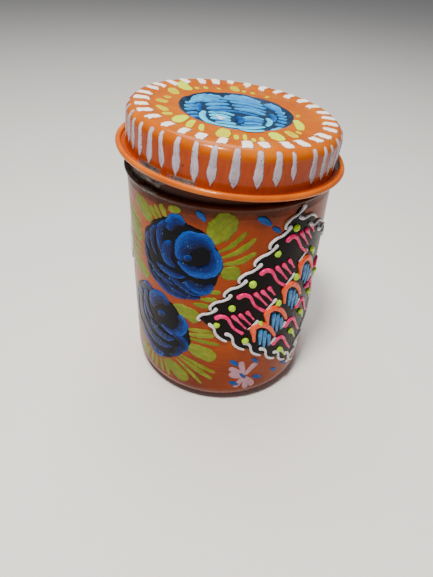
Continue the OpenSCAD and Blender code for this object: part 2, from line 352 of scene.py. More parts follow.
def brushed_enamel_on_steel():
    """Oil enamel brushed over drawn sheet steel: glossy and faintly streaked, darkened at the foot with painted
    shade and under the lid's rim with a painted shadow, rubbed to grey metal on the neck and left bare inside."""
    m, t, s = new_material("brushed_enamel_on_drawn_steel")
    place = put(t, "TexCoord", out="Object")
    x, y, z = put(t, "SeparateXYZ", place, out=None)
    cloud = mottle(t, place, 22, 3.0)
    streak = mottle(t, place, 2.2, 5.0, 0.7, 4.0, (0.22, 0.22, 1.0))
    colour = put(t, "ValToRGB", cloud, stops=[(0.28, "#782A00"), (0.5, "#923800"), (0.74, "#A64600")])
    colour = put(t, "Mix", {0: put(t, "MapRange", streak, 0.35, 0.75, 0.0, 0.35), 6: colour, 7: tint("#863000")},
                 out=2, data_type="RGBA")
    # the paint's ragged upper edge near the mouth, lower where the neck is scraped at the left
    ragged = mottle(t, place, 3.2, 6.0, 0.7, 9.0)
    edge = put(t, "Math", ragged, 0.0048, z, operation="MULTIPLY_ADD")
    shaken = put(t, "Math", ragged, 0.5, angle_round(t, x, y), operation="MULTIPLY_ADD")
    scratches = put(t, "MapRange", mottle(t, place, 1.4, 3.0, 0.6, 40.0, (0.25, 0.25, 1.0)), 0.4, 0.5)
    scraped = put(t, "Math", between(t, shaken, (-1.25, -1.1), (-0.30, -0.45)), scratches, operation="MULTIPLY")
    worn = put(t, "MapRange", put(t, "Math", scraped, 0.0092, edge, operation="MULTIPLY_ADD"), 0.1070, 0.1075)
    bare = put(t, "Math", worn, put(t, "Attribute", out="Fac", attribute_name="inner"), operation="MAXIMUM")
    # nicks where the tin stands on its foot
    nicks = put(t, "Math", put(t, "MapRange", z, 0.0012, 0.0003),
                put(t, "MapRange", mottle(t, place, 1.3, 2.0, 0.5, 21.0), 0.7, 0.74), operation="MULTIPLY")
    bare = put(t, "Math", bare, nicks, operation="MAXIMUM")
    metal = put(t, "ValToRGB", mottle(t, place, 1.6, 5.0, 0.65, 2.0, (0.3, 0.3, 2.0)),
                stops=[(0.3, "#2C2724"), (0.5, "#5C5650"), (0.72, "#928C84")])
    stain = put(t, "MapRange", mottle(t, place, 6.0, 4.0, 0.6, 6.0), 0.55, 0.7, 0.0, 0.7)
    metal = put(t, "Mix", {0: stain, 6: metal, 7: tint("#6A4A34")}, out=2, data_type="RGBA")
    gloss = put(t, "MapRange", streak, 0.3, 0.8, 0.24, 0.36)
    # the enamel's colour carries painted shade at the foot and a painted shadow under the rim
    wire(t, s, Base_Color=put(t, "Mix", {0: bare, 6: painted_shade(t, place, colour), 7: metal}, out=2, data_type="RGBA"),
         Metallic=put(t, "Math", bare, 0.85, operation="MULTIPLY"),
         Roughness=put(t, "Math", bare, 0.14, gloss, operation="MULTIPLY_ADD"),
         Normal=hand_made(t, cloud, 0.25, 0.5, streak, 0.035, 0.6, bare, 0.06),
         Specular_IOR_Level=0.13, Coat_Weight=0.03, Coat_Roughness=0.08)
    return m


def enamel_on_lid():
    """The same enamel on the pressed lid, painted brighter orange than on the body as painted light, and glossier;
    painted shade makes it darker and redder down the skirt, where it is thin; chipped to tinplate in the gutter
    beside the rolled rim."""
    m, t, s = new_material("orange_enamel_on_pressed_steel")
    place = put(t, "Attribute", out="Vector", attribute_name="place")
    x, y, h = put(t, "SeparateXYZ", place, out=None)
    radius = put(t, "VectorMath", put(t, "CombineXYZ", x, y), out="Value", operation="LENGTH")
    cloud = mottle(t, place, 14, 4.0, 0.55, 1.0)
    streak = mottle(t, place, 1.7, 5.0, 0.7, 5.0, (1.0, 1.0, 0.25))
    # painted light: the body's enamel made brighter where the lid's top faces the lamps
    colour = put(t, "ValToRGB", cloud, stops=[(0.28, "#A64C00"), (0.5, "#B85C00"), (0.72, "#C66C00")])
    skirt_in_shade = put(t, "ValToRGB", streak, stops=[(0.3, "#943200"), (0.7, "#AE4400")])
    rim = put(t, "ValToRGB", cloud, stops=[(0.3, "#B04A02"), (0.55, "#C66008"), (0.75, "#D87412")])
    # painted shade: the skirt darker and redder than the top
    for mask, shade in ((put(t, "MapRange", h, 0.0128, 0.0100), skirt_in_shade),
                        (put(t, "MapRange", radius, 0.0412, 0.0419), rim)):
        colour = put(t, "Mix", {0: mask, 6: colour, 7: shade}, out=2, data_type="RGBA")
    # bare places in the gutter: two at the left front with a lump of paint between, one at the right
    ragged = mottle(t, place, 2.4, 6.0, 0.75, 3.0)
    shake = put(t, "Math", put(t, "Math", ragged, 0.5, operation="SUBTRACT"), 0.35, operation="MULTIPLY")
    angle = put(t, "Math", angle_round(t, x, y), shake, operation="ADD")
    patches = between(t, angle, (-0.92, -0.87), (-0.60, -0.64))
    for start, stop in (((-0.54, -0.50), (-0.28, -0.33)), ((1.35, 1.42), (2.1, 2.0))):
        patches = put(t, "Math", patches, between(t, angle, start, stop), operation="MAXIMUM")
    low = put(t, "MapRange", put(t, "Math", ragged, 0.0012, h, operation="MULTIPLY_ADD"), 0.0021, 0.0016)
    gutter = put(t, "Math", low, put(t, "MapRange", radius, 0.0421, 0.0417), operation="MULTIPLY")
    bare = put(t, "Math", gutter, patches, operation="MULTIPLY")
    bare = put(t, "Math", bare, put(t, "Attribute", out="Fac", attribute_name="inner"), operation="MAXIMUM")
    chips = spots(t, place, 3.8462, (0.11, 0.085), 9, (0.6, 0.64), 30.0)
    colour = put(t, "Mix", {0: put(t, "Math", chips, 0.85, operation="MULTIPLY"), 6: colour, 7: tint("#3B1A08")},
                 out=2, data_type="RGBA")
    tinplate = put(t, "ValToRGB", mottle(t, place, 1.1, 5.0, 0.6, 8.0),
                   stops=[(0.3, "#6E6A66"), (0.5, "#A09C98"), (0.75, "#D2CECB")])
    gloss = put(t, "MapRange", streak, 0.3, 0.8, 0.17, 0.27)
    missing = put(t, "Math", bare, chips, operation="MAXIMUM")
    wire(t, s, Base_Color=put(t, "Mix", {0: bare, 6: colour, 7: tinplate}, out=2, data_type="RGBA"),
         Metallic=put(t, "Math", bare, 0.9, operation="MULTIPLY"),
         Roughness=put(t, "Math", bare, 0.12, gloss, operation="MULTIPLY_ADD"),
         Normal=hand_made(t, cloud, 0.22, 0.5, streak, 0.03, 0.6, missing, 0.07),
         Specular_IOR_Level=0.15, Coat_Weight=0.2, Coat_Roughness=0.05)
    return m


def brushed_paint(name, stops, under, thin=0.3, gloss=(0.26, 0.42), hair_mm=0.35, by_tone=0.5, by_side=0.0,
                  by_hair=0.7, pinholes=0.0, dust=None, shine=0.1):
    """Brush-laid paint: hairs leave lengthwise streaks, thin places let the ground show, satin to glossy.
    The by_ values say how much the stroke's own tone, its two sides and the hairs shift the colour."""
    m, t, s = new_material(name)
    grain = put(t, "Attribute", out="Vector", attribute_name="grain")
    place = put(t, "TexCoord", out="Object")
    tone, side, along = (put(t, "Attribute", out="Fac", attribute_name=key) for key in ("tone", "cross", "along"))
    # the hairs' marks are drawn coarser than real ones, so that they show
    hairs = mottle(t, grain, hair_mm, 3.0, 0.6, 2.0, (0.09, 1.0, 30.0))
    cloud = mottle(t, place, 3.0, 3.0, 0.6, 7.0)
    value = 0.5
    for part, share in ((hairs, by_hair), (cloud, 0.5), (tone, by_tone)):
        part = put(t, "Math", part, 0.5, operation="SUBTRACT")
        value = put(t, "Math", part, share, value, operation="MULTIPLY_ADD")
    value = put(t, "Math", side, by_side, value, operation="MULTIPLY_ADD")
    colour = put(t, "ValToRGB", value, stops=stops)
    running_dry = put(t, "Math", along, 0.12, hairs, operation="MULTIPLY_ADD")
    layers = [(put(t, "MapRange", running_dry, 0.66, 0.8, 0.0, thin), under)]
    if pinholes:
        holes = spots(t, place, 0.90909, (0.27, 0.2), 2.2, (0.5, 0.56), 17.0)
        layers.append((put(t, "Math", holes, pinholes, operation="MULTIPLY"), "#4A3A3A"))
    if dust:
        specks = spots(t, place, 1.11111, (0.2, 0.14), 5, (0.5, 0.6), 11.0)
        layers.append((put(t, "Math", specks, 0.8, operation="MULTIPLY"), dust))
    for mask, shade in layers:
        colour = put(t, "Mix", {0: mask, 6: colour, 7: tint(shade)}, out=2, data_type="RGBA")
    wire(t, s, Base_Color=colour, Roughness=put(t, "MapRange", hairs, 0.3, 0.75, *gloss),
         Normal=hand_made(t, cloud, 0.08, 0.4, hairs, 0.05, 0.8), Specular_IOR_Level=shine)
    return m


def squeezed_paint(name, dark, base, light, rough=0.28):
    """Thick paint squeezed from a nozzle: glossy, rounded, slightly uneven in colour where it pooled."""
    m, t, s = new_material(name)
    place = put(t, "TexCoord", out="Object")
    pool = mottle(t, place, 1.8, 4.0, 0.6, 3.0)
    fine = mottle(t, place, 0.5, 3.0, 0.6, 5.0)
    wire(t, s, Base_Color=put(t, "ValToRGB", pool, stops=[(0.28, dark), (0.5, base), (0.74, light)]),
         Roughness=put(t, "MapRange", fine, 0.3, 0.7, rough - 0.06, rough + 0.1),
         Normal=hand_made(t, pool, 0.12, 0.6, fine, 0.03, 0.5), Specular_IOR_Level=0.3)
    return m


def studio_floor():
    """Matt white paper sweep: even, with a faint tooth."""
    m, t, s = new_material("matt_white_paper")
    tooth = mottle(t, put(t, "TexCoord", out="Object"), 1.2, 3.0)
    relief = put(t, "Bump", {"Height": tooth, "Distance": 0.01 * MM, "Strength": 0.2})
    wire(t, s, Base_Color=put(t, "ValToRGB", tooth, stops=[(0.3, "#F4F4F4"), (0.7, "#F8F8F8")]), Roughness=0.95,
         Normal=relief, Specular_IOR_Level=0.1)
    return m


# off-white, satin, pitted: the orange shows through where the brush ran dry. One white paint in two copies: the
# skirt's greyer and darker as painted shade, the top's lighter as painted light
SKIRT_WHITE_SHADED = brushed_paint("brushed_white_paint", [(0.15, "#8A7F8E"), (0.45, "#B2A8B6"), (0.75, "#D2CAD8")],
                             "#C9743A", thin=0.35, pinholes=0.9, hair_mm=0.5, gloss=(0.34, 0.5))
# painted light: the same white paint, lighter on the lid's top
TOP_WHITE_LIT = brushed_paint("brushed_white_paint_lit_on_top", [(0.1, "#D9CFCB"), (0.4, "#F1EBEA"), (0.7, "#FBF8F8")],
                           "#E8A06A", thin=0.45, pinholes=0.6, hair_mm=0.5, gloss=(0.34, 0.5))
# olive green, thin enough for the orange to warm it
LEAF_GREEN = brushed_paint("brushed_leaf_green", [(0.1, "#4A5010"), (0.42, "#68761C"), (0.7, "#88982C")],
                           "#A5480F", thin=0.75, pinholes=0.3)
# deep glossy blue that runs from near-black to a bright loaded edge, with pale dust
ROSE_BLUE = brushed_paint("brushed_cobalt_blue",
                          [(0.1, "#00020C"), (0.36, "#020E3C"), (0.6, "#032068"), (0.95, "#084CA8")],
                          "#060A20", thin=0.5, by_tone=0.8, by_side=0.34, by_hair=0.6, dust="#5AA8D8",
                          gloss=(0.2, 0.34))
# near-blacks: one cool, one warm, both semi-gloss with wide brush marks
ROSE_GROUND = brushed_paint("brushed_blue_black", [(0.2, "#010208"), (0.55, "#02030C"), (0.85, "#050820")],
                            "#03040A", thin=0.2, shine=0.08, gloss=(0.2, 0.34), hair_mm=1.2)
PANEL_BLACK = brushed_paint("brushed_warm_black", [(0.2, "#040202"), (0.55, "#080303"), (0.85, "#100605")],
                            "#2A130C", thin=0.2, shine=0.08, gloss=(0.28, 0.4), hair_mm=1.0)
# small thin touches that the orange dulls
PALE_BLUE = brushed_paint("brushed_sky_blue", [(0.1, "#062A60"), (0.5, "#0C468E"), (0.85, "#1E70B8")],
                          "#8C4A2C", thin=0.6)
PALE_WASH = brushed_paint("thin_lilac_wash", [(0.15, "#96605E"), (0.5, "#B08490"), (0.8, "#C4A2B4")],
                          "#983800", thin=0.7)
# the lid's paints: bright, glossy, streaked from blue to cyan and from ochre to lime
LID_BLUE = brushed_paint("brushed_light_blue",
                         [(0.05, "#062058"), (0.34, "#1456A4"), (0.62, "#2C8CD4"), (0.92, "#40CCFA")],
                         "#1A3A60", thin=0.45, by_tone=0.75, by_side=0.18, by_hair=0.6, gloss=(0.22, 0.36))
LID_GROUND = brushed_paint("brushed_slate_blue", [(0.2, "#101A2A"), (0.55, "#20344C"), (0.85, "#38597C")],
                           "#20242C", thin=0.3, hair_mm=1.2)
LID_LEAF = brushed_paint("brushed_yellow_green", [(0.1, "#B08A14"), (0.45, "#C4BC1E"), (0.8, "#C8E428")],
                         "#E08A2C", thin=0.6, by_tone=0.9)
# raised paints: opaque and rounded, so each line carries its own small highlight
PIPING_WHITE = squeezed_paint("squeezed_white_paint", "#B9B8BC", "#D4D4D8", "#EDEDF0", 0.34)
PINK = squeezed_paint("squeezed_pink_paint", "#B8044C", "#E60C68", "#F43C88")
LIME = squeezed_paint("squeezed_lime_paint", "#84B000", "#A8DC00", "#C4F020")
ARCH_ORANGE = squeezed_paint("squeezed_orange_paint", "#D03408", "#EC4E18", "#FA7038")
RIB_BLUE = squeezed_paint("squeezed_sky_blue_paint", "#14548C", "#2A78B4", "#60A8D8")


# ---------------------------------------------------------------- turned sheet-metal shells

def arc(centre_r, centre_h, radius, start, stop, count):
    """Points round an arc, both ends included."""
    turns = [math.radians(start + (stop - start) * k / count) for k in range(count + 1)]
    return [(centre_r + radius * math.cos(a), centre_h + radius * math.sin(a)) for a in turns]


def line(p, q, step):
    """Points between two places, both places left out."""
    n = max(1, int(math.dist(p, q) / step))
    return [(p[0] + (q[0] - p[0]) * k / n, p[1] + (q[1] - p[1]) * k / n) for k in range(1, n)]


def turned(name, section, inner_from, seat, segments, wobble):
    """A closed turned shell; section runs from pole to pole with the metal on its left."""
    pts = [p for i, p in enumerate(section) if i == 0 or math.dist(p, section[i - 1]) > 1e-4]
    rings = np.array(pts[1:-1])
    n, rows = segments, len(rings)
    r, h, a = np.broadcast_arrays(rings[:, 0:1], rings[:, 1:2], np.linspace(0, 2 * math.pi, n, endpoint=False))
    r = r + wobble(r, a, h)
    own = np.stack([r * np.sin(a), -r * np.cos(a), h], -1).reshape(-1, 3)
    own = np.vstack([own, [[0, 0, pts[0][1]], [0, 0, pts[-1][1]]]])
    turn = [(i, (i + 1) % n) for i in range(n)]
    faces = [(k * n + i, k * n + j, (k + 1) * n + j, (k + 1) * n + i) for k in range(rows - 1) for i, j in turn]
    faces += [(rows * n, j, i) for i, j in turn]
    faces += [(rows * n + 1, (rows - 1) * n + i, (rows - 1) * n + j) for i, j in turn]
    mesh = bpy.data.meshes.new(name)
    mesh.from_pydata((seat(own) * MM).tolist(), [], faces)
    give(mesh, "place", own * MM)
    give(mesh, "inner", np.append(np.repeat(np.arange(rows) >= inner_from, n), [0.0, 1.0]))
    return mesh


def body_wobble(r, a, h):
    """Between foot and bead the drawn wall is a few hundredths of a millimetre out of true."""
    wall = np.clip((h - 6) / 6, 0, 1) * np.clip((95 - h) / 4, 0, 1)
    out = np.zeros(r.shape)
    for i, j in zip(*np.nonzero((r > BODY_R - 1) & (wall > 0))):
        out[i, j] = noise.noise(Vector((math.sin(a[i, j]) * 2.2, math.cos(a[i, j]) * 2.2, h[i, j] / 22)))
    return out * wall * 0.03


def lid_wobble(r, a, h):
    """The rolled rim is dented and pulled about by up to 0.18 mm."""
    rim = np.clip((r - 41) / 1.5, 0, 1)
    return rim * (0.10 * np.sin(2 * a + 0.6) + 0.05 * np.sin(5 * a + 2.0) + 0.03 * np.sin(11 * a))


def tin_section():
    """Radius and height from the middle of the foot up the outside, over the hem and down the inside."""
    foot_r, hem_r, inside, neck_in = BODY_R - CORNER_R, NECK_R - HEM_R, BODY_R - SHEET, NECK_R - SHEET
    outer = [(0, 0)] + line((0, 0), (foot_r, 0), 4) + arc(foot_r, CORNER_R, CORNER_R, -90, 0, 22)
    outer += line((BODY_R, CORNER_R), (BODY_R, RIDGE[0][0]), 2.4) + [(BODY_R + bulge, h) for h, bulge in RIDGE]
    outer += [(BODY_R, 95.0), (BODY_R, 95.7), (BODY_R + 0.06, 96.1)] + arc(BODY_R, BEAD_Z, BEAD_R, -52, 118, 16)
    outer += [(39.3, 97.95), (39.08, 98.15), (38.97, 98.5)] + line((NECK_R, 98.5), (NECK_R, 105.5), 1.2)
    outer += arc(hem_r, HEM_Z, HEM_R, 0, 180, 12) + arc(hem_r, HEM_Z, HEM_R, 180, 292, 8)
    inner = line((neck_in, 104.9), (neck_in, 97.8), 1.5)
    inner += [(neck_in, 97.7), (38.7, 97.45), (39.1, 97.4), (39.5, 97.3), (inside, 97.0)]
    inner += line((inside, 96.6), (inside, CORNER_R), 3) + arc(foot_r, CORNER_R, CORNER_R - SHEET, 0, -90, 16)
    inner += line((foot_r, SHEET), (0, SHEET), 4) + [(0, SHEET)]
    return outer + inner, len(outer) - 1


def lid_section():
    """Radius and height from the middle of the top, down the skirt, round the curl and back underneath."""
    edge_r, inside = SKIRT_R - EDGE_R, SKIRT_R - SHEET
    top = [tuple(p) for p in TOP_LINE]
    outer = [top[0]]
    for p, q in zip(top, top[1:]):
        outer += line(p, q, 1.2) + [q]
    outer += arc(edge_r, EDGE_Z, EDGE_R, 90, 0, 18)[1:] + line((SKIRT_R, EDGE_Z), (SKIRT_R, 0.9), 0.9)
    outer += [(SKIRT_R, 0.9), (39.92, 0.5)] + arc(40.55, 0.1, 0.62, 172, 262, 8)
    outer += [(41.1, -0.6), (41.5, -0.52)] + arc(CURL_C, 0, CURL_R, 205, -90, 34)
    outer += [(42.2, -1.06), (41.4, -1.05)]
    inner = arc(40.5, -0.05, 1.0, 270, 180, 8) + line((inside, 0), (inside, EDGE_Z), 1.2)
    inner += arc(edge_r, EDGE_Z, EDGE_R - SHEET, 0, 90, 12)
    inner += [(33.3, 14.0), (32.6, 13.8), (31.6, 13.5)] + line((31.6, 13.5), (21.6, 13.5), 2)
    inner += [(21.2, 13.4), (20.4, 12.7), (19.6, 12.0), (19.2, 11.9)]
    inner += line((19.2, 11.9), (0, 11.9), 3) + [(0, 11.9)]
    return outer + inner, len(outer) - 1


finish_piece(turned("tin_shell", *tin_section(), lambda p: p, 288, body_wobble), "tin_shell",
             brushed_enamel_on_steel(), "tin", ("tin_body",))
finish_piece(turned("lid_shell", *lid_section(), seat_lid, 288, lid_wobble), "lid_shell",
             enamel_on_lid(), "lid", ("lid_cap",))


# ---------------------------------------------------------------- raised trails, by Geometry Nodes

def panel_pt(a, b):
    """A place on the black panel: a along its rising edges and b along its falling ones."""
    return (PANEL_LEFT[0] + a * math.cos(UP) + b * math.cos(DOWN),
            PANEL_LEFT[1] + a * math.sin(UP) + b * math.sin(DOWN))


def new_tree(name, numbers):
    """An empty tree that takes a shape, named numbers and a paint, and gives back a shape."""
    g = bpy.data.node_groups.new(name, "GeometryNodeTree")
    g.interface.new_socket("Geometry", in_out="INPUT", socket_type="NodeSocketGeometry")
    for label, value in numbers:
        g.interface.new_socket(label, in_out="INPUT", socket_type="NodeSocketFloat").default_value = value
    g.interface.new_socket("Paint", in_out="INPUT", socket_type="NodeSocketMaterial")
    g.interface.new_socket("Geometry", in_out="OUTPUT", socket_type="NodeSocketGeometry")
    return g, put(g, "NodeGroupInput", out=None)


def close_tree(g, shape, paint):
    """Ends a tree: real geometry in its paint."""
    shape = put(g, "GeometryNodeRealizeInstances", {"Geometry": shape})
    shape = put(g, "GeometryNodeSetMaterial", {"Geometry": shape, "Material": paint})
    put(g, "NodeGroupOutput", {"Geometry": shape}, out=None)
    return g


def trail_tree():
    """Turns drawn lines into rounded trails of paint and lays them round the wall."""
    g, src = new_tree("trails_round_the_wall", (("Wall radius", BODY_R * MM), ("Height share", 0.8),
                                                ("Lift", 0.2 * MM), ("Unevenness", 0.12), ("Deepest", -0.15 * MM)))
    thick = put(g, "GeometryNodeInputNamedAttribute", {"Name": "thick"}, out="Attribute", data_type="FLOAT")
    lines = put(g, "GeometryNodeMeshToCurve", {"Mesh": src["Geometry"]})
    place = put(g, "GeometryNodeInputPosition")
    # lumps about 1.4 mm apart
    lump = put(g, "TexNoise", {"Vector": place, "Scale": 700.0, "Detail": 2.0}, out="Fac")
    swell = put(g, "Math", lump, 0.5, operation="SUBTRACT")
    swell = put(g, "Math", swell, src["Unevenness"], operation="MULTIPLY")
    swell = put(g, "Math", swell, 2.0, 1.0, operation="MULTIPLY_ADD")
    size = put(g, "Math", thick, swell, operation="MULTIPLY")
    lines = put(g, "GeometryNodeSetCurveRadius", {"Curve": lines, "Radius": size})
    ring = put(g, "GeometryNodeCurvePrimitiveCircle", {"Resolution": 12, "Radius": 1.0})
    tube = put(g, "GeometryNodeCurveToMesh", {"Curve": lines, "Profile Curve": ring, "Scale": size,
                                              "Fill Caps": True})
    x, y, z = put(g, "SeparateXYZ", place, out=None)
    angle = put(g, "Math", x, src["Wall radius"], operation="DIVIDE")
    out = put(g, "Math", y, -1.0, operation="MULTIPLY")
    out = put(g, "Math", out, src["Height share"], src["Lift"], operation="MULTIPLY_ADD")
    # the underside stops inside the sheet's thickness
    out = put(g, "Math", out, src["Deepest"], operation="MAXIMUM")
    radius = put(g, "Math", out, src["Wall radius"], operation="ADD")
    across = put(g, "Math", put(g, "Math", angle, operation="SINE"), radius, operation="MULTIPLY")
    back = put(g, "Math", put(g, "Math", angle, operation="COSINE"), radius, operation="MULTIPLY")
    wrapped = put(g, "CombineXYZ", across, put(g, "Math", back, -1.0, operation="MULTIPLY"), z)
    tube = put(g, "GeometryNodeSetPosition", {"Geometry": tube, "Position": wrapped})
    return close_tree(g, tube, src["Paint"])


TRAILS = trail_tree()


def run_tree(tree, source, **inputs):
    """Evaluates a node tree on a mesh and returns the plain result."""
    holder = bpy.data.objects.new("maker", source)
    bpy.context.scene.collection.objects.link(holder)
    mod = holder.modifiers.new("make", "NODES")
    mod.node_group = tree
    keys = {s.name: s.identifier for s in tree.interface.items_tree
            if s.item_type == "SOCKET" and s.in_out == "INPUT"}
    for name, value in inputs.items():
        mod[keys[name.replace("_", " ")]] = value
    bpy.context.view_layer.update()
    ready = holder.evaluated_get(bpy.context.evaluated_depsgraph_get())
    mesh = bpy.data.meshes.new_from_object(ready)
    bpy.data.objects.remove(holder)
    return mesh


class Trails:
    """Lines of squeezed paint in one colour, drawn flat by arc length and height."""

    def __init__(self, name):
        self.name, self.verts, self.edges, self.thick = name, [], [], []

    def draw(self, points, radius, shape=(1, 1), step=0.35):
        path, t, length = smooth_path(points, step)
        r = radius * np.interp(t, np.linspace(0, 1, len(shape)), shape)
        run = t * length
        for gap, end in ((run, r[0]), (length - run, r[-1])):
            near = np.clip(gap / max(end, 0.2), 0, 1)
            r = r * np.maximum(np.sqrt(np.clip(1 - (1 - near) ** 2, 0, 1)), 0.08)
        base = len(self.verts)
        self.verts += [(p[0] * MM, 0.0, p[1] * MM) for p in path]
        self.edges += [(base + i, base + i + 1) for i in range(len(path) - 1)]
        self.thick += (r * MM).tolist()

    def dot(self, point, radius, seed=0.0):
        """A round drop: a line as long as it is wide, so that its rounded ends meet."""
        a = seed * 2.4
        d = (math.cos(a) * radius, math.sin(a) * radius * 1.04)
        self.draw([(point[0] - d[0], point[1] - d[1]), point, (point[0] + d[0], point[1] + d[1])], radius,
                  step=radius / 7)

    def build(self, paint, nodes, slot, height, lift):
        half = math.pi * BODY_R * MM
        n = len(self.verts)
        verts = self.verts + [(x + half, y, z) for x, y, z in self.verts]
        edges = self.edges + [(a + n, b + n) for a, b in self.edges]
        source = bpy.data.meshes.new(self.name + "_lines")
        source.from_pydata(verts, edges, [])
        give(source, "thick", np.array(self.thick * 2))
        mesh = run_tree(TRAILS, source, Height_share=height, Lift=lift * MM, Paint=paint)
        return finish_piece(mesh, self.name, paint, "tin", nodes)


def along_edge(corner, way, out, t, n):
    """A point t along a panel edge and n outwards from it."""
    return (corner[0] + way[0] * t + out[0] * n, corner[1] + way[1] * t + out[1] * n)


E_UP = (math.cos(UP), math.sin(UP))
E_DOWN = (math.cos(DOWN), math.sin(DOWN))
W_UP, W_DOWN = (-E_UP[0], -E_UP[1]), (-E_DOWN[0], -E_DOWN[1])
# one scallop of the border on a rising edge and one on a falling edge: how far along, how far outwards
RISING = [(0.0, 1.5), (0.7, 2.5), (2.0, 2.9), (4.4, 2.4), (6.4, 1.1), (8.7, 0.4), (10.0, 0.3), (11.0, 0.5)]
FALLING = [(0.0, -1.0), (2.0, -1.5), (4.2, -0.9), (6.0, 0.8), (8.0, 1.8), (10.6, 2.1), (12.8, 1.8)]
# each edge: corner, way along it, way outwards, scallop, how many, spacing
LEFT_EDGE = (panel_pt(-1.0, 1.2), E_UP, W_DOWN, RISING, 7, 8.45)
TOP_EDGE = (panel_pt(PANEL_UP - 0.8, 0.2), E_DOWN, E_UP, FALLING, 6, 9.3)
RIGHT_EDGE = (panel_pt(PANEL_UP + 0.4, PANEL_DOWN - 1.2), W_UP, E_DOWN, RISING, 7, 8.45)
BOTTOM_EDGE = (panel_pt(0.3, 2.0), E_DOWN, W_UP, FALLING, 6, 9.3)

piping = Trails("white_piping_relief")
rng = random.Random(11)


def draw_edge(corner, way, out, unit, count, pitch):
    """Draws one edge's scallops and returns their outer side, for the black film to follow."""
    outer = []
    for k in range(count):
        jig = rng.uniform(-0.25, 0.25)
        pts = [along_edge(corner, way, out, max(t, 1.5 - 0.3 * i if k == 0 else 0) + k * pitch + jig,
                          n * (0.55 + 0.15 * i if k == 0 and i < 3 else 1) + rng.uniform(-0.12, 0.12))
               for i, (t, n) in enumerate(unit)]
        if unit is RISING:
            piping.draw(pts, 0.54, (0.85, 1.05, 1.05, 0.95, 0.9, 0.95, 1.2, 1.8))
            outer += pts[:4]
        else:
            piping.draw(pts, 0.54, (1.75, 1.3, 1.0, 1.05, 1.05, 1.0, 0.9, 0.7))
            outer += pts[3:6]
    return outer


panel_outline = draw_edge(*LEFT_EDGE) + [panel_pt(PANEL_UP + 1.2, -0.8)]
panel_outline += draw_edge(*TOP_EDGE) + [panel_pt(PANEL_UP + 0.8, PANEL_DOWN + 0.8)]
panel_outline += draw_edge(*RIGHT_EDGE) + [panel_pt(-0.8, PANEL_DOWN + 0.8)] + draw_edge(*BOTTOM_EDGE)[::-1]
piping.build(PIPING_WHITE, ("white_piping",), "white_relief", 0.95, 0.35)

black = Coat("black_panel_film", on_wall)
centre = panel_pt(PANEL_UP / 2, PANEL_DOWN / 2)
dense = []
for p, q in zip(panel_outline, panel_outline[1:] + panel_outline[:1]):
    dense += [p, ((p[0] + q[0]) / 2, (p[1] + q[1]) / 2)]
black.patch(dense, centre, lift=0.04, thick=0.14, rings=30)
black.repeat_behind()
black.build(PANEL_BLACK, "tin", ("black_panels",), "black_paint")

# the pattern inside the panel, as (rising, falling) places from its left corner
pink = Trails("pink_relief")
for k, a in enumerate((5.4, 18.4, 31.2, 46.4)):
    reach = (0, 0, 0.6, 1.4)[k]
    pink.draw([panel_pt(a - 0.3, 3.4), panel_pt(a + 2.3, 4.6), panel_pt(a + 2.8, 7.4),
               panel_pt(a + 0.4, 12.2 + reach),
               panel_pt(a - 0.2, 17.8 + reach)], 0.72, (1.75, 1.25, 0.95, 0.85, 0.85, 1.15))
    for da, db, la, lb in ((5.3, 7.2, 2.4, 17.0), (7.2, 9.2, 5.0, 17.4), (9.6, 10.8, 7.6, 16.8)):
        if a + da < PANEL_UP - 0.5:
            pink.draw([panel_pt(a + da, db), panel_pt(a + (da + la) / 2 + 0.1, (db + lb) / 2),
                       panel_pt(a + la, lb)], 0.56, (1.8, 1.5, 0.85, 0.7, 0.8))
for k in range(5):
    a = 4.6 + 9.2 * k
    pink.draw([panel_pt(a, 34.8), panel_pt(a + 3.6, 36.0), panel_pt(a + 4.6, 39.0), panel_pt(a + 2.0, 44.6),
               panel_pt(a - 0.2, 50.6)], 0.78, (1.7, 1.1, 0.9, 0.85, 0.8))
pink.build(PINK, ("pink_trails",), "pink_relief", 0.8, 0.3)

lime = Trails("lime_relief")
for k, (a, b) in enumerate(((3.0, 6.2), (13.4, 5.2), (26.4, 4.2), (41.0, 3.9), (52.2, 3.9),
                            (2.6, 21.0), (12.4, 20.6), (23.4, 21.4), (35.7, 21.6))):
    lime.dot(panel_pt(a, b), 1.3 + 0.1 * (k % 3), k)
lime.draw([panel_pt(47.6, 21.4), panel_pt(48.0, 23.6), panel_pt(46.6, 26.6)], 0.95, (1.3, 1.0, 0.6))
for k in range(5):
    a = 3.4 + 9.4 * k
    lime.draw([panel_pt(a, 40.6), panel_pt(a - 0.4, 44.2), panel_pt(a - 3.0, 50.4)], 0.85,
              (1.6, 1.4, 0.8, 0.5, 0.4))
lime.build(LIME, ("lime_dots",), "lime_relief", 0.85, 0.3)

arches = Trails("orange_relief")
ribs = Trails("sky_blue_relief")
for k, a in enumerate((8.9, 17.6, 29.2, 40.8)):
    arches.draw([panel_pt(a - 5.4, 25.2), panel_pt(a - 1.8, 21.6), panel_pt(a + 0.6, 19.4),
                 panel_pt(a + 3.0, 20.6),
                 panel_pt(a + 3.6, 23.8), panel_pt(a + 2.6, 28.0), panel_pt(a + 0.2, 33.0)], 0.98,
                (0.55, 0.95, 1.6, 1.35, 1.1, 0.95, 0.7))
    for da, db, la, lb in ((1.4, 22.8, -5.8, 28.8), (1.6, 25.2, -6.8, 32.2), (0.4, 28.6, -5.0, 33.8)):
        ribs.draw([panel_pt(a + da, db), panel_pt(a + (da + la) / 2 + 0.3, (db + lb) / 2 - 0.2),
                   panel_pt(a + la, lb)], 0.86, (1.1, 1.15, 0.9, 0.55))
arches.build(ARCH_ORANGE, ("orange_arches",), "orange_relief", 0.8, 0.3)
ribs.build(RIB_BLUE, ("blue_ribs",), "sky_relief", 0.8, 0.3)

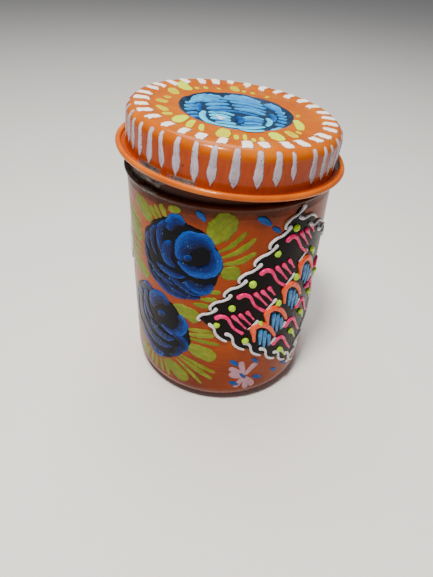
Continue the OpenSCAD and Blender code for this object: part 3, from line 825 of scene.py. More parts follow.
drops = Trails("white_drops_relief")
for a, b in ((13.0, 18.6), (24.4, 18.8), (36.4, 19.2), (46.8, 18.4)):
    drops.draw([panel_pt(a + 0.6, b), panel_pt(a - 2.0, b - 0.2), panel_pt(a - 5.4, b - 0.9)], 0.58,
               (1.5, 1.0, 0.5, 0.35))
for a, b in ((7.6, 33.6), (15.6, 33.4), (26.8, 33.8), (38.2, 33.8)):
    drops.draw([panel_pt(a + 1.2, b), panel_pt(a - 0.8, b + 0.5), panel_pt(a - 2.8, b)], 0.6, (1.5, 1.0, 0.6))
drops.build(PIPING_WHITE, (), "white_relief", 0.8, 0.3)


# ---------------------------------------------------------------- roses, leaves and small flowers on the wall

def blob(centre, radius, lobes, seed, count=120, wave=1.0):
    """A slightly lobed round outline."""
    out = []
    for k in range(count):
        a = 2 * math.pi * k / count
        r = radius * (1 + wave * (0.022 * math.sin(lobes * a + seed) + 0.014 * math.sin(2 * lobes * a + 2 * seed)
                                  + 0.02 * math.sin(2 * a + seed)))
        out.append((centre[0] + r * math.cos(a), centre[1] + r * math.sin(a)))
    return out


grounds = Coat("rose_ground_film", on_wall)
grounds.patch(blob(UPPER_ROSE, 17.0, 7, 0.6), UPPER_ROSE, lift=0.03, thick=0.1)
grounds.patch(blob(LOWER_ROSE, 18.2, 6, 1.9), LOWER_ROSE, lift=0.03, thick=0.1)
grounds.repeat_behind()
grounds.build(ROSE_GROUND, "tin", ("rose_grounds",), "rose_paint")

petals = Coat("rose_petals", on_wall)
UPPER_HEART, LOWER_HEART = (-12.8, 75.0), (-24.6, 42.6)
UPPER_PETALS = [
    ([(-21.2, 84.6), (-20.4, 87.8), (-17.6, 90.0), (-14.8, 88.6)], 4.6, 0.62),
    ([(-22.4, 88.0), (-25.4, 83.6), (-25.4, 78.0), (-24.2, 72.6)], 3.4, 0.5),
    ([(-19.8, 80.4), (-22.4, 76.6), (-22.2, 72.6), (-18.4, 70.2)], 5.0, 0.5),
    ([(-27.0, 84.6), (-29.6, 80.4), (-29.2, 75.6), (-27.4, 71.6)], 3.0, 0.36),
    ([(-31.4, 80.0), (-32.6, 76.4), (-31.4, 72.4)], 2.6, 0.4),
    ([(-33.8, 73.0), (-33.4, 68.6), (-30.6, 66.0)], 2.8, 0.34),
    ([(-27.6, 68.6), (-22.6, 67.0), (-17.6, 66.6), (-14.4, 67.4)], 3.0, 0.58),
    ([(-31.6, 67.6), (-27.6, 64.4), (-22.4, 62.8), (-19.0, 61.6)], 2.6, 0.4),
    ([(-22.0, 65.0), (-17.0, 63.2), (-11.6, 60.4), (-8.8, 60.0)], 3.2, 0.46),
    ([(-14.8, 65.2), (-10.4, 62.6), (-6.8, 63.2), (-4.0, 66.0)], 5.0, 0.6),
    ([(-31.2, 63.4), (-26.6, 59.8), (-20.4, 57.6), (-14.0, 56.8)], 3.4, 0.5),
    ([(-25.2, 62.2), (-19.0, 59.8), (-12.6, 58.2), (-8.4, 58.8)], 2.6, 0.38),
    ([(-33.4, 66.4), (-31.0, 61.8), (-28.0, 59.2)], 2.4, 0.32),
    ([(-16.6, 73.6), (-15.6, 79.2), (-12.4, 83.2), (-7.4, 83.8), (-4.6, 80.6)], 6.4, 0.6),
    ([(-4.6, 81.0), (-3.2, 76.6), (-4.4, 72.4), (-9.0, 70.4), (-14.0, 70.9), (-17.6, 73.4)], 4.8, 0.74),
    ([(-15.2, 74.6), (-13.4, 75.6), (-11.8, 75.8)], 2.9, 0.5),
]
LOWER_PETALS = [
    ([(-38.6, 50.0), (-35.4, 53.2), (-31.0, 53.6)], 3.4, 0.44),
    ([(-31.6, 44.6), (-30.4, 49.4), (-26.4, 52.0), (-21.8, 50.4)], 6.0, 0.5),
    ([(-17.6, 47.4), (-15.4, 43.6), (-16.6, 39.0), (-20.8, 36.4), (-26.6, 37.8)], 4.0, 0.72),
    ([(-28.0, 42.4), (-25.8, 43.8), (-23.8, 43.4)], 3.0, 0.44),
    ([(-34.6, 51.4), (-36.6, 46.4), (-35.0, 41.0), (-31.4, 37.6)], 3.6, 0.42),
    ([(-39.6, 48.6), (-42.0, 42.6), (-40.6, 36.0), (-36.8, 31.8)], 4.2, 0.4),
    ([(-44.4, 44.6), (-47.0, 38.4), (-46.0, 31.8), (-42.8, 27.4)], 3.6, 0.36),
    ([(-33.6, 36.4), (-29.0, 33.4), (-23.8, 32.2), (-19.4, 33.6)], 4.2, 0.42),
    ([(-38.6, 33.6), (-34.2, 28.6), (-27.6, 26.6), (-20.6, 28.4)], 4.4, 0.4),
    ([(-43.4, 29.6), (-38.6, 23.8), (-31.4, 20.6), (-24.6, 21.4)], 4.6, 0.52),
    ([(-36.0, 20.6), (-31.0, 18.8), (-26.0, 20.0)], 2.6, 0.6),
    ([(-21.0, 35.6), (-17.0, 34.6), (-14.8, 31.4), (-16.6, 27.0)], 3.6, 0.44),
    ([(-17.4, 30.6), (-18.6, 25.6), (-22.4, 22.6)], 3.0, 0.36),
    ([(-38.4, 42.6), (-37.4, 37.4), (-34.4, 34.0)], 2.6, 0.5),
]
for heart, group in ((UPPER_HEART, UPPER_PETALS), (LOWER_HEART, LOWER_PETALS)):
    for k, (points, width, tone) in enumerate(group):
        petals.stroke(points, width * 1.16, tone, lift=0.14 + 0.011 * (k % 8), crown=0.055,
                      shape=(0.45, 0.95, 1.0, 0.8, 0.3), ragged=0.08, lanes=11, centre=heart)
# thin bright rims where loaded paint piled up at a petal's edge
RIMS = [
    ([(-4.4, 82.4), (-1.9, 77.6), (-2.4, 72.6), (-6.0, 69.4)], 0.8, 0.98),
    ([(-16.0, 83.6), (-12.0, 86.2), (-7.4, 86.2)], 0.6, 0.8),
    ([(-19.6, 90.4), (-16.8, 91.0), (-14.8, 90.0)], 0.6, 0.85),
    ([(-15.4, 46.0), (-13.9, 42.6), (-15.4, 38.2), (-19.4, 34.8)], 0.8, 0.98),
    ([(-30.6, 49.6), (-27.0, 53.4), (-22.0, 52.6)], 0.6, 0.82),
    ([(-33.6, 18.8), (-29.0, 17.9), (-25.0, 19.4)], 0.7, 0.95),
    ([(-12.6, 62.2), (-7.6, 61.0), (-4.6, 63.4)], 0.5, 0.85),
]
for points, width, tone in RIMS:
    petals.stroke(points, width, tone, lift=0.25, crown=0.05, shape=(0.4, 1.0, 1.0, 0.4), lanes=5)
petals.repeat_behind()
petals.build(ROSE_BLUE, "tin", (), "rose_paint")

leaves = Coat("leaf_strokes", on_wall)
BROAD = [
    ([(-29.6, 85.0), (-34.0, 88.4), (-40.2, 90.6)], 7.2), ([(-36.4, 74.0), (-42.0, 76.6), (-49.0, 78.0)], 8.0),
    ([(-33.0, 58.2), (-41.0, 60.8), (-50.0, 63.6)], 7.6), ([(-18.6, 92.0), (-19.2, 95.4)], 5.6),
    ([(-5.8, 83.4), (-2.6, 88.6), (1.6, 95.4)], 9.0), ([(-1.4, 70.6), (2.0, 71.4), (6.0, 71.8)], 6.4),
    ([(-20.4, 50.6), (-14.6, 49.8), (-8.4, 47.4)], 6.8), ([(-14.0, 31.8), (-8.4, 30.2), (-1.2, 27.4)], 7.4),
    ([(-24.4, 18.6), (-19.0, 14.6), (-13.4, 10.4)], 7.2), ([(-39.4, 17.8), (-40.4, 13.4), (-41.0, 9.6)], 6.6),
    ([(-50.2, 50.6), (-54.6, 49.0)], 5.0), ([(-51.6, 34.0), (-57.6, 33.2)], 5.6),
    ([(-48.6, 24.4), (-53.6, 20.2)], 5.6),
]
FINE = [
    [(-3.6, 79.4), (2.0, 83.2), (6.8, 88.6)], [(-2.0, 77.6), (4.4, 80.6), (10.4, 85.8)],
    [(-1.4, 75.0), (5.0, 76.4), (11.0, 79.8)], [(-5.4, 61.8), (-0.8, 62.6)], [(-8.8, 58.0), (-2.0, 58.8)],
    [(-11.6, 55.2), (-4.8, 55.0)], [(-24.4, 87.6), (-28.0, 92.6)], [(-26.4, 86.8), (-30.4, 91.4)],
    [(-22.4, 89.0), (-25.0, 94.0)], [(-36.0, 82.0), (-42.0, 83.4), (-48.0, 86.0)],
    [(-36.2, 79.6), (-42.4, 81.0), (-48.4, 83.0)], [(-36.6, 69.6), (-42.6, 70.2), (-49.0, 71.4)],
    [(-36.4, 67.2), (-42.4, 67.4), (-49.4, 68.4)], [(-14.6, 41.2), (-8.0, 41.8), (-3.0, 42.4)],
    [(-15.0, 38.6), (-8.0, 39.2), (-2.2, 40.2)], [(-15.2, 36.6), (-7.0, 36.2), (0.0, 35.4)],
    [(-18.2, 25.6), (-10.0, 22.6), (-1.2, 18.6)], [(-18.4, 24.0), (-10.4, 19.8), (-2.4, 14.6)],
    [(-19.4, 22.2), (-12.4, 16.6), (-7.0, 10.8)], [(-33.2, 17.6), (-33.8, 13.0), (-34.4, 9.4)],
    [(-30.6, 17.2), (-30.8, 12.4), (-30.8, 8.8)], [(-28.0, 17.4), (-27.2, 12.6), (-26.4, 8.8)],
    [(-25.6, 18.0), (-24.2, 13.0), (-22.8, 8.8)], [(-36.0, 17.8), (-37.2, 13.4), (-38.2, 9.6)],
    [(-46.8, 55.0), (-52.4, 54.6)], [(-50.4, 43.6), (-56.0, 44.2)], [(-50.8, 40.2), (-57.0, 39.6)],
    [(-46.0, 20.6), (-49.4, 15.6)],
]
for k, (points, width) in enumerate(BROAD):
    leaves.stroke(points, width, 0.42 + 0.05 * (k % 4), lift=0.05, crown=0.05, shape=(0.45, 0.95, 1.0, 0.85),
                  ragged=0.1, lanes=13)
for k, points in enumerate(FINE):
    leaves.stroke(points, 2.1 + 0.3 * (k % 3), 0.36 + 0.06 * (k % 5), lift=0.05, crown=0.05,
                  shape=(0.25, 0.65, 1.0, 0.9, 0.6), ragged=0.14, lanes=7)
leaves.repeat_behind()
leaves.build(LEAF_GREEN, "tin", ("green_leaves",), "leaf_paint")

sprigs = Coat("small_blue_petals", on_wall)
for points, width in [([(-10.6, 95.2), (-9.0, 93.6), (-7.2, 91.8)], 2.6),
                      ([(9.8, 93.8), (12.6, 92.6), (15.4, 90.2)], 2.7),
                      ([(15.8, 89.6), (19.6, 86.8)], 2.0), ([(4.6, 26.6), (6.6, 24.8), (8.6, 23.0)], 2.4),
                      ([(14.4, 26.2), (17.4, 22.6)], 1.9), ([(5.0, 13.4), (7.2, 12.0), (9.4, 10.8)], 2.3),
                      ([(15.4, 14.8), (17.6, 13.8), (20.2, 12.4)], 2.4), ([(25.0, 15.4), (28.6, 12.0)], 2.0),
                      ([(31.2, 16.0), (33.6, 14.0), (36.2, 11.4)], 2.2), ([(9.4, 18.4), (12.2, 14.2)], 1.5)]:
    sprigs.stroke(points, width, 0.5, lift=0.12, crown=0.12, shape=(0.45, 1.0, 0.9, 0.35), lanes=7, step=0.35)
sprigs.repeat_behind()
sprigs.build(PALE_BLUE, "tin", (), "sky_relief")

wash = Coat("pale_flower_wash", on_wall)
for points in [[(11.8, 16.2), (7.6, 19.6), (4.6, 22.0)], [(11.8, 16.6), (10.4, 21.0), (9.4, 25.4)],
               [(12.0, 16.4), (14.4, 20.2), (17.2, 23.0)], [(11.4, 15.6), (7.8, 16.4), (4.8, 18.6)],
               [(11.6, 15.4), (9.4, 12.0), (7.4, 9.4)], [(12.0, 15.0), (12.4, 11.4), (12.6, 7.6)],
               [(12.4, 15.2), (14.6, 11.6), (16.2, 8.6)]]:
    wash.stroke(points, 3.1, 0.5, lift=0.04, crown=0.04, shape=(0.35, 0.8, 1.0, 0.8), lanes=7)
wash.repeat_behind()
wash.build(PALE_WASH, "tin", ("pale_flowers",), "pale_paint")


# ---------------------------------------------------------------- the lid's rose and daubs

rose_bed = Coat("lid_rose_ground", on_lid)
rose_bed.patch(blob((0, 0), 21.3, 9, 0.4, 150, 0.3), (0, 0), lift=0.03, thick=0.08, rings=90)
rose_bed.build(LID_GROUND, "lid", ("lid_rose",), "lid_rose_paint")

lid_petals = Coat("lid_rose_petals", on_lid)
LID_PETALS = [
    ([(-18.8, 8.6), (-15.4, 13.4), (-10.8, 17.0), (-6.0, 19.0)], 3.6, 0.6),
    ([(-5.2, 19.2), (0.4, 19.9), (5.6, 19.2), (10.4, 17.0)], 3.2, 0.5),
    ([(-17.6, 5.6), (-14.4, 9.8), (-10.8, 12.8), (-6.6, 14.8)], 3.0, 0.68),
    ([(-7.4, 15.8), (-1.0, 16.6), (5.0, 16.0), (11.0, 13.8)], 2.9, 0.64),
    ([(11.4, 16.2), (15.2, 12.6), (18.2, 8.0)], 3.2, 0.46),
    ([(-12.8, 8.6), (-8.8, 11.2), (-3.2, 12.8)], 2.9, 0.58),
    ([(-2.6, 13.0), (4.2, 12.7), (11.8, 9.8)], 3.1, 0.66), ([(-11.4, 4.6), (-7.6, 7.6), (-2.4, 9.2)], 3.1, 0.62),
    ([(-1.8, 9.3), (4.8, 9.0), (11.6, 6.0)], 3.2, 0.56), ([(-10.8, 0.6), (-6.8, 3.8), (-1.6, 5.4)], 3.1, 0.54),
    ([(-0.8, 5.4), (5.0, 5.2), (11.2, 2.4)], 3.2, 0.64),
    ([(-9.0, -1.4), (-4.0, 1.0), (2.0, 1.6), (8.6, -0.2)], 2.2, 0.34),
    ([(-13.6, 6.0), (-14.2, 1.4), (-13.4, -3.4)], 2.6, 0.26),
    ([(-19.6, 3.2), (-17.6, 4.6), (-15.4, 6.4)], 2.4, 0.56),
    ([(-19.8, -0.4), (-17.6, 1.0), (-15.2, 2.8)], 2.7, 0.62),
    ([(-19.2, -4.2), (-17.0, -2.6), (-14.8, -1.0)], 2.7, 0.54),
    ([(-18.0, -7.8), (-15.8, -6.2), (-13.8, -4.8)], 2.5, 0.5),
    ([(-16.4, -11.0), (-14.6, -9.6), (-13.0, -8.4)], 2.5, 0.44),
    ([(-16.0, -13.6), (-13.4, -16.2), (-9.6, -18.4)], 2.4, 0.5),
    ([(13.4, 5.0), (14.0, 0.8), (13.2, -4.2)], 2.6, 0.26), ([(15.0, 8.0), (17.2, 7.0), (19.0, 5.6)], 2.6, 0.56),
    ([(15.4, 4.2), (17.6, 3.4), (19.8, 2.4)], 2.6, 0.48), ([(15.6, 0.6), (17.8, 0.0), (20.0, -0.6)], 2.5, 0.56),
    ([(15.0, -3.0), (17.4, -3.6), (19.6, -4.2)], 2.5, 0.46),
    ([(14.0, -6.4), (16.4, -7.0), (18.6, -7.6)], 2.4, 0.52),
    ([(12.6, -14.6), (15.2, -12.6), (17.4, -9.8)], 2.8, 1.0),
    ([(-10.2, -3.2), (-5.6, -1.5), (-0.4, -2.8)], 2.6, 0.82),
    ([(-9.8, -6.4), (-5.8, -5.0), (-1.8, -6.4)], 2.9, 1.0),
    ([(-9.2, -9.6), (-5.6, -8.2), (-1.8, -9.6)], 2.7, 0.92),
    ([(-7.4, -12.6), (-4.0, -11.6), (0.2, -12.0)], 2.5, 0.74),
    ([(0.6, -3.2), (1.4, -6.8), (0.8, -10.6)], 3.0, 0.12), ([(1.6, -12.0), (5.0, -11.4), (9.0, -9.8)], 2.2, 0.3),
    ([(2.6, -4.4), (6.4, -2.4), (10.4, -3.4)], 2.8, 0.66), ([(2.8, -7.2), (6.4, -5.6), (10.2, -6.2)], 2.6, 0.46),
    ([(2.8, -9.8), (6.2, -8.6), (9.6, -8.4)], 2.0, 0.6),
    ([(-11.7, -2.0), (-12.1, -7.4), (-10.2, -12.6), (-5.8, -14.9)], 2.3, 1.0),
    ([(-6.8, -14.8), (-0.6, -14.9), (5.4, -13.9), (10.4, -11.0)], 2.2, 0.98),
    ([(11.6, -0.8), (12.4, -5.2), (11.0, -10.2)], 2.0, 0.98),
    ([(-6.8, -17.8), (-1.2, -17.9), (4.6, -17.0), (9.4, -14.6)], 1.7, 0.42),
    ([(0.4, -20.9), (4.8, -21.2), (9.4, -19.6)], 2.8, 0.96),
]
for k, (points, width, tone) in enumerate(LID_PETALS):
    if k < len(LID_PETALS) - 1:  # all but the last stay inside the recess
        reach = 20.7 - width * 0.6
        points = [(x * min(1, reach / math.hypot(x, y)), y * min(1, reach / math.hypot(x, y))) for x, y in points]
    lid_petals.stroke(points, width * 1.13, tone, lift=0.15 + 0.018 * (k % 8), crown=0.04,
                      shape=(0.6, 1.0, 1.0, 0.95, 0.6), ragged=0.1, lanes=17, step=0.25, centre=(0, -8))
lid_petals.build(LID_BLUE, "lid", (), "lid_rose_paint")

# painted highlight: two white dabs on the rose's cup stand for a gleam of light
painted_glint = Coat("lid_rose_highlight", on_lid)
for points in ([(-7.4, -6.0), (-5.8, -7.0), (-3.6, -7.4)], [(-6.6, -8.6), (-4.6, -9.2)]):
    painted_glint.stroke(points, 1.1, 0.9, lift=0.3, crown=0.08, shape=(0.5, 1.0, 0.5), lanes=5, step=0.3)
painted_glint.build(TOP_WHITE_LIT, "lid", (), "stroke_white")

daubs = Coat("lid_leaf_daubs", on_lid)
LID_DAUBS = [
    ([(-17.0, -14.4), (-19.2, -18.4), (-19.8, -22.6)], 3.6, 0.85),
    ([(-14.2, -18.0), (-15.4, -22.2), (-15.6, -26.0)], 2.2, 0.6),
    ([(-11.4, -20.8), (-11.6, -24.2), (-11.2, -27.6)], 1.6, 0.6),
    ([(-4.0, -22.2), (-4.2, -26.4), (-4.6, -31.0)], 4.2, 0.5),
    ([(-0.2, -26.6), (0.0, -31.0)], 1.5, 0.6), ([(2.6, -25.2), (2.8, -30.6)], 1.3, 0.6),
    ([(5.4, -27.6), (5.6, -31.0)], 1.3, 0.55),
    ([(7.8, -25.8), (8.6, -29.8)], 1.4, 0.6), ([(11.8, -19.8), (13.2, -23.0), (14.8, -26.8)], 4.2, 0.9),
    ([(16.8, -16.4), (18.6, -19.0), (20.2, -22.2)], 3.0, 0.4),
    ([(21.6, -3.0), (22.6, -8.4), (22.2, -14.0)], 3.0, 0.75),
    ([(20.4, -15.4), (22.4, -17.8)], 1.6, 0.5), ([(-29.6, -0.6), (-27.0, -2.0), (-24.6, -2.8)], 3.2, 0.3),
    ([(-27.4, 3.8), (-24.0, 3.0)], 2.6, 0.35), ([(-25.6, 16.2), (-24.6, 12.0), (-22.8, 8.2)], 3.6, 0.4),
    ([(-22.4, 25.4), (-21.0, 20.4), (-18.6, 15.8)], 4.2, 0.8),
    ([(-28.6, -7.6), (-26.0, -10.0), (-24.0, -12.8)], 2.6, 0.35),
    ([(-25.8, -15.6), (-23.6, -15.0), (-21.8, -14.0)], 2.4, 0.4),
    ([(-1.0, 31.0), (-0.8, 27.0), (0.2, 23.2)], 3.4, 0.35),
    ([(-13.0, 24.6), (-12.2, 20.8)], 1.6, 0.5), ([(-7.6, 25.0), (-7.0, 22.4)], 1.5, 0.45),
    ([(3.2, 26.4), (2.8, 23.0)], 1.6, 0.4),
    ([(7.0, 25.6), (6.4, 22.4)], 1.7, 0.4), ([(13.4, 22.6), (11.6, 19.8)], 1.5, 0.35),
    ([(-16.6, 22.0), (-15.4, 18.8)], 1.5, 0.5),
    ([(23.6, 3.4), (22.6, 0.0)], 1.6, 0.35),
]
for k, (points, width, tone) in enumerate(LID_DAUBS):
    daubs.stroke(points, width * 1.35, tone, lift=0.05, crown=0.05, shape=(0.55, 0.95, 1.0, 0.6), ragged=0.12,
                 lanes=9)
daubs.build(LID_LEAF, "lid", ("lid_leaves",), "lid_leaf_paint")


# ---------------------------------------------------------------- white strokes round the lid, by Geometry Nodes

def stroke_tree(name, outline):
    """One brush stroke on each point, laid over the lid's skirt, rounded edge and top."""
    g, src = new_tree(name, (("Skirt radius", SKIRT_R * MM), ("Edge radius", EDGE_R * MM),
                             ("Edge centre height", EDGE_Z * MM), ("Film height", 0.22 * MM),
                             ("Raggedness", 0.35 * MM), ("Step radius", BORDER_R * MM)))
    edge_r = src["Edge radius"]

    # one stroke, a unit long and wide: a domed sheet over a flat one
    here = put(g, "GeometryNodeInputPosition")
    x, y, z = put(g, "SeparateXYZ", here, out=None)
    share = put(g, "Math", y, 0.5, operation="ADD")
    side = put(g, "Math", x, 2.0, operation="MULTIPLY")
    width = put(g, "FloatCurve", {"Value": share})
    marks = width.node.mapping.curves[0].points
    while len(marks) < len(outline):
        marks.new(0.5, 0.5)
    for mark, at in zip(marks, outline):
        mark.location = at
    width.node.mapping.update()
    round_off = put(g, "Math", 1.0, put(g, "Math", side, side, operation="MULTIPLY"), operation="SUBTRACT")
    dome = put(g, "Math", put(g, "Math", round_off, 0.0, operation="MAXIMUM"), operation="SQRT")
    start = put(g, "Math", put(g, "Math", share, 12.0, operation="MULTIPLY"), 1.0, operation="MINIMUM")
    stop = put(g, "Math", put(g, "Math", 1.0, share, operation="SUBTRACT"), 12.0, operation="MULTIPLY")
    ends = put(g, "Math", start, put(g, "Math", stop, 1.0, operation="MINIMUM"), operation="MULTIPLY")
    narrowed = put(g, "Math", x, width, operation="MULTIPLY")
    sheet = put(g, "GeometryNodeMeshGrid", {"Size X": 1.0, "Size Y": 1.0, "Vertices X": 9, "Vertices Y": 26})
    for label, value in (("along", share), ("cross", side)):
        sheet = put(g, "GeometryNodeStoreNamedAttribute", {"Geometry": sheet, "Name": label, "Value": value},
                    data_type="FLOAT", domain="POINT")
    upper, lower = (put(g, "GeometryNodeSetPosition",
                        {"Geometry": sheet, "Position": put(g, "CombineXYZ", narrowed, y, height)})
                    for height in (put(g, "Math", dome, ends, operation="MULTIPLY"), 0.0))
    unit = put(g, "GeometryNodeJoinGeometry", upper)
    g.links.new(put(g, "GeometryNodeFlipFaces", lower), unit.node.inputs[0])
    # the two sheets meet along the stroke's outline
    unit = put(g, "GeometryNodeMergeByDistance", {"Geometry": unit, "Distance": 0.0005})

    # a stroke on every point, each with its own size, lean and tone
    wide, long, lean, cross, along = (
        put(g, "GeometryNodeInputNamedAttribute", {"Name": key}, out="Attribute", data_type="FLOAT")
        for key in ("wide", "long", "lean", "cross", "along"))
    turn = put(g, "FunctionNodeEulerToRotation", put(g, "CombineXYZ", {2: lean}))
    scale = put(g, "CombineXYZ", wide, long, src["Film height"])
    many = put(g, "GeometryNodeInstanceOnPoints", {"Points": src["Geometry"], "Instance": unit, "Rotation": turn,
                                                   "Scale": scale})
    tone = put(g, "FunctionNodeRandomValue", {"Min": 0.3, "Max": 0.7, "Seed": 5}, out=1, data_type="FLOAT")
    many = put(g, "GeometryNodeStoreNamedAttribute", {"Geometry": many, "Name": "tone", "Value": tone},
               data_type="FLOAT", domain="INSTANCE")
    many = put(g, "GeometryNodeRealizeInstances", {"Geometry": many})
    many = put(g, "GeometryNodeStoreNamedAttribute",
               {"Geometry": many, "Name": "grain", "Value": put(g, "CombineXYZ", y, x)},
               data_type="FLOAT_VECTOR", domain="POINT")

    # ragged edges: the outer lanes wander sideways and the ends lengthwise, in steps of about 1.5 mm
    rag = put(g, "TexNoise", {"Vector": here, "Scale": 650.0, "Detail": 3.0}, out="Fac")
    rag = put(g, "Math", put(g, "Math", rag, 0.5, operation="SUBTRACT"), src["Raggedness"], operation="MULTIPLY")
    end = put(g, "Math", put(g, "Math", along, 0.5, operation="SUBTRACT"), 4.0, operation="MULTIPLY")
    cross = put(g, "Math", cross, 2.0, operation="MULTIPLY")
    s = put(g, "Math", x, put(g, "Math", rag, cross, operation="MULTIPLY"), operation="ADD")
    v = put(g, "Math", y, put(g, "Math", rag, end, operation="MULTIPLY"), operation="ADD")

    # up the skirt, round the edge and in over the top
    quarter = put(g, "Math", edge_r, math.pi / 2, operation="MULTIPLY")
    bend = put(g, "Math", put(g, "Math", v, edge_r, operation="DIVIDE"), 0.0, operation="MAXIMUM")
    bend = put(g, "Math", bend, math.pi / 2, operation="MINIMUM")
    inward = put(g, "Math", put(g, "Math", v, quarter, operation="SUBTRACT"), 0.0, operation="MAXIMUM")
    reach = put(g, "Math", edge_r, put(g, "Math", z, 0.02 * MM, operation="ADD"), operation="ADD")
    out = put(g, "Math", reach, put(g, "Math", bend, operation="COSINE"), operation="MULTIPLY")
    r = put(g, "Math", put(g, "Math", src["Skirt radius"], edge_r, operation="SUBTRACT"), out, operation="ADD")
    r = put(g, "Math", r, inward, operation="SUBTRACT")
    up = put(g, "Math", reach, put(g, "Math", bend, operation="SINE"), operation="MULTIPLY")
    h = put(g, "Math", src["Edge centre height"], up, operation="ADD")
    h = put(g, "Math", h, put(g, "Math", v, 0.0, operation="MINIMUM"), operation="ADD")
    # the top steps down 0.48 mm inside the border
    dip = put(g, "MapRange", r, put(g, "Math", src["Step radius"], 0.9 * MM, operation="ADD"),
              put(g, "Math", src["Step radius"], 0.9 * MM, operation="SUBTRACT"), 0.0, 0.48 * MM,
              interpolation_type="SMOOTHSTEP")
    h = put(g, "Math", h, dip, operation="SUBTRACT")
    a = put(g, "Math", s, src["Skirt radius"], operation="DIVIDE")
    across = put(g, "Math", r, put(g, "Math", a, operation="SINE"), operation="MULTIPLY")
    back = put(g, "Math", r, put(g, "Math", a, operation="COSINE"), operation="MULTIPLY")
    laid = put(g, "CombineXYZ", across, put(g, "Math", back, -1.0, operation="MULTIPLY"), h)
    many = put(g, "GeometryNodeSetPosition", {"Geometry": many, "Position": laid})
    return close_tree(g, many, src["Paint"])


def lid_strokes(name, tree, strokes, paint, nodes, ragged):
    """strokes: (arc length, middle along the lid's profile, width, length, lean)."""
    source = bpy.data.meshes.new(name + "_points")
    source.from_pydata([(s * MM, v * MM, 0.0) for s, v, *_ in strokes], [], [])
    for key, index, unit in (("wide", 2, MM), ("long", 3, MM), ("lean", 4, 1.0)):
        give(source, key, np.array([stroke[index] * unit for stroke in strokes]))
    mesh = run_tree(tree, source, Paint=paint, Raggedness=ragged * MM)
    co = np.empty(len(mesh.vertices) * 3)
    mesh.vertices.foreach_get("co", co)
    co = seat_lid(co.reshape(-1, 3) / MM) * MM
    mesh.vertices.foreach_set("co", co.ravel())
    return finish_piece(mesh, name, paint, "lid", nodes)


rng = random.Random(5)
girth = 2 * math.pi * SKIRT_R
# front strokes, listed one by one: arc length, lowest point, top, width, lean
FRONT = [(-41.2, 1.7, 12.8, 2.6, 0.02), (-36.0, 1.2, 13.2, 2.8, 0.03), (-30.4, 0.6, 13.4, 3.1, -0.02),
         (-25.0, 1.2, 13.6, 2.5, 0.14), (-18.9, 0.7, 13.6, 3.2, 0.03), (-12.4, 0.3, 13.8, 3.0, 0.06),
         (-6.6, 0.6, 13.8, 3.3, 0.0), (0.5, 0.7, 13.9, 3.6, 0.02), (8.0, 1.4, 13.8, 3.4, 0.05),
         (14.3, 2.4, 13.8, 3.2, 0.05), (20.0, 3.8, 13.6, 2.1, 0.14), (29.0, 1.2, 13.6, 3.2, 0.10),
         (34.6, 1.0, 13.4, 2.8, 0.10), (39.0, 1.6, 13.2, 2.5, 0.08)]


def profile_run(h):
    """Distance along the lid's profile from the foot of the rounded edge, up to height h."""
    return h - EDGE_Z if h < EDGE_Z else EDGE_R * math.asin(min(1, (h - EDGE_Z) / EDGE_R))


skirt_marks = []
for s, low, high, width, lean in FRONT:
    v0, v1 = profile_run(low), profile_run(high)
    skirt_marks.append((s, (v0 + v1) / 2, width, v1 - v0, lean))
s = 45.2
while s < girth - 44:
    v0, v1 = profile_run(rng.uniform(0.7, 2.2)), profile_run(rng.uniform(13.2, 13.9))
    skirt_marks.append((s, (v0 + v1) / 2, rng.uniform(2.5, 3.5), v1 - v0, rng.uniform(-0.05, 0.1)))
    s += rng.uniform(5.9, 6.8)
lid_strokes("lid_skirt_brush_strokes", stroke_tree("strokes_down_the_skirt", [
    (0.0, 0.0), (0.06, 0.2), (0.18, 0.7), (0.32, 1.0), (0.6, 0.78), (0.9, 0.64), (0.97, 0.56), (1.0, 0.36)]),
    skirt_marks, SKIRT_WHITE_SHADED, ("lid_skirt_strokes",), 0.4)
top_marks = []
for k in range(32):
    a = math.radians(-7.0 + 11.25 * k) + rng.uniform(-0.02, 0.02)
    run = EDGE_R * math.pi / 2
    v0 = run - rng.uniform(0.9, 1.6)
    v1 = run + (SKIRT_R - EDGE_R) - rng.uniform(31.2, 32.2)
    top_marks.append((a * SKIRT_R, (v0 + v1) / 2, rng.uniform(3.7, 4.7), v1 - v0, rng.uniform(-0.16, 0.1)))
lid_strokes("lid_top_brush_strokes", stroke_tree("strokes_round_the_top", [
    (0.0, 0.35), (0.07, 0.82), (0.3, 0.96), (0.6, 1.0), (0.85, 0.9), (0.95, 0.74), (1.0, 0.4)]),
    top_marks, TOP_WHITE_LIT, ("lid_top_strokes",), 1.3)


# ---------------------------------------------------------------- floor, light, camera

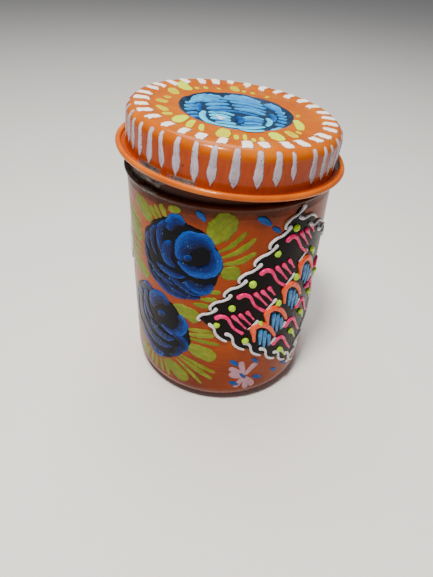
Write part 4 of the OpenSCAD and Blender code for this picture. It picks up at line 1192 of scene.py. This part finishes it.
# the sweep lies just below the tin's foot
floor_mesh = bpy.data.meshes.new("paper_sweep")
floor_mesh.from_pydata([(x, y, -0.2 * MM) for x, y in ((-6, -3), (6, -3), (6, 12), (-6, 12))], [], [(0, 1, 2, 3)])
floor_mesh.materials.append(studio_floor())
floor = bpy.data.objects.new("paper_sweep", floor_mesh)
bpy.context.scene.collection.objects.link(floor)

world = bpy.data.worlds.new("soft_studio")
bpy.context.scene.world = world
world.use_nodes = True
world.node_tree.nodes["Background"].inputs["Color"].default_value = tint("#F3F6FA")
world.node_tree.nodes["Background"].inputs["Strength"].default_value = 0.17


def softbox(name, place, aim, size, power, colour):
    """A square lamp, size metres across, turned towards a point."""
    data = bpy.data.lights.new(name, "AREA")
    data.shape, data.size, data.energy, data.color = "SQUARE", size, power, tint(colour)[:3]
    light = bpy.data.objects.new(name, data)
    light.location = place
    light.rotation_euler = (Vector(aim) - Vector(place)).to_track_quat("-Z", "Y").to_euler()
    bpy.context.scene.collection.objects.link(light)


softbox("key_above_front", (-0.06, -0.17, 0.52), (0, 0, 0.06), 0.08, 3.6, "#FFF6EA")
softbox("overhead", (-0.05, 0.22, 0.85), (0, 0, 0.1), 0.5, 5.5, "#FFF8F0")

# the camera looks down at the front with a slight roll, through a 29 mm lens on a 36 mm wide frame
CAMERA_AT = (-0.00257, -0.17635, 0.16979)
tilt, roll = math.radians(37.72), math.radians(3.09)
ahead = Vector((0, math.cos(tilt), -math.sin(tilt)))
over = Vector((0, math.sin(tilt), math.cos(tilt)))
right = Vector((1, 0, 0)) * math.cos(roll) + over * math.sin(roll)
top = over * math.cos(roll) - Vector((1, 0, 0)) * math.sin(roll)
lens = bpy.data.cameras.new("camera")
lens.sensor_width, lens.lens, lens.clip_start, lens.clip_end = 36.0, 29.23, 0.01, 50.0
camera = bpy.data.objects.new("camera", lens)
basis = Matrix((right, top, -ahead)).transposed().to_4x4()
camera.matrix_world = Matrix.Translation(CAMERA_AT) @ basis
bpy.context.scene.collection.objects.link(camera)
bpy.context.scene.camera = camera
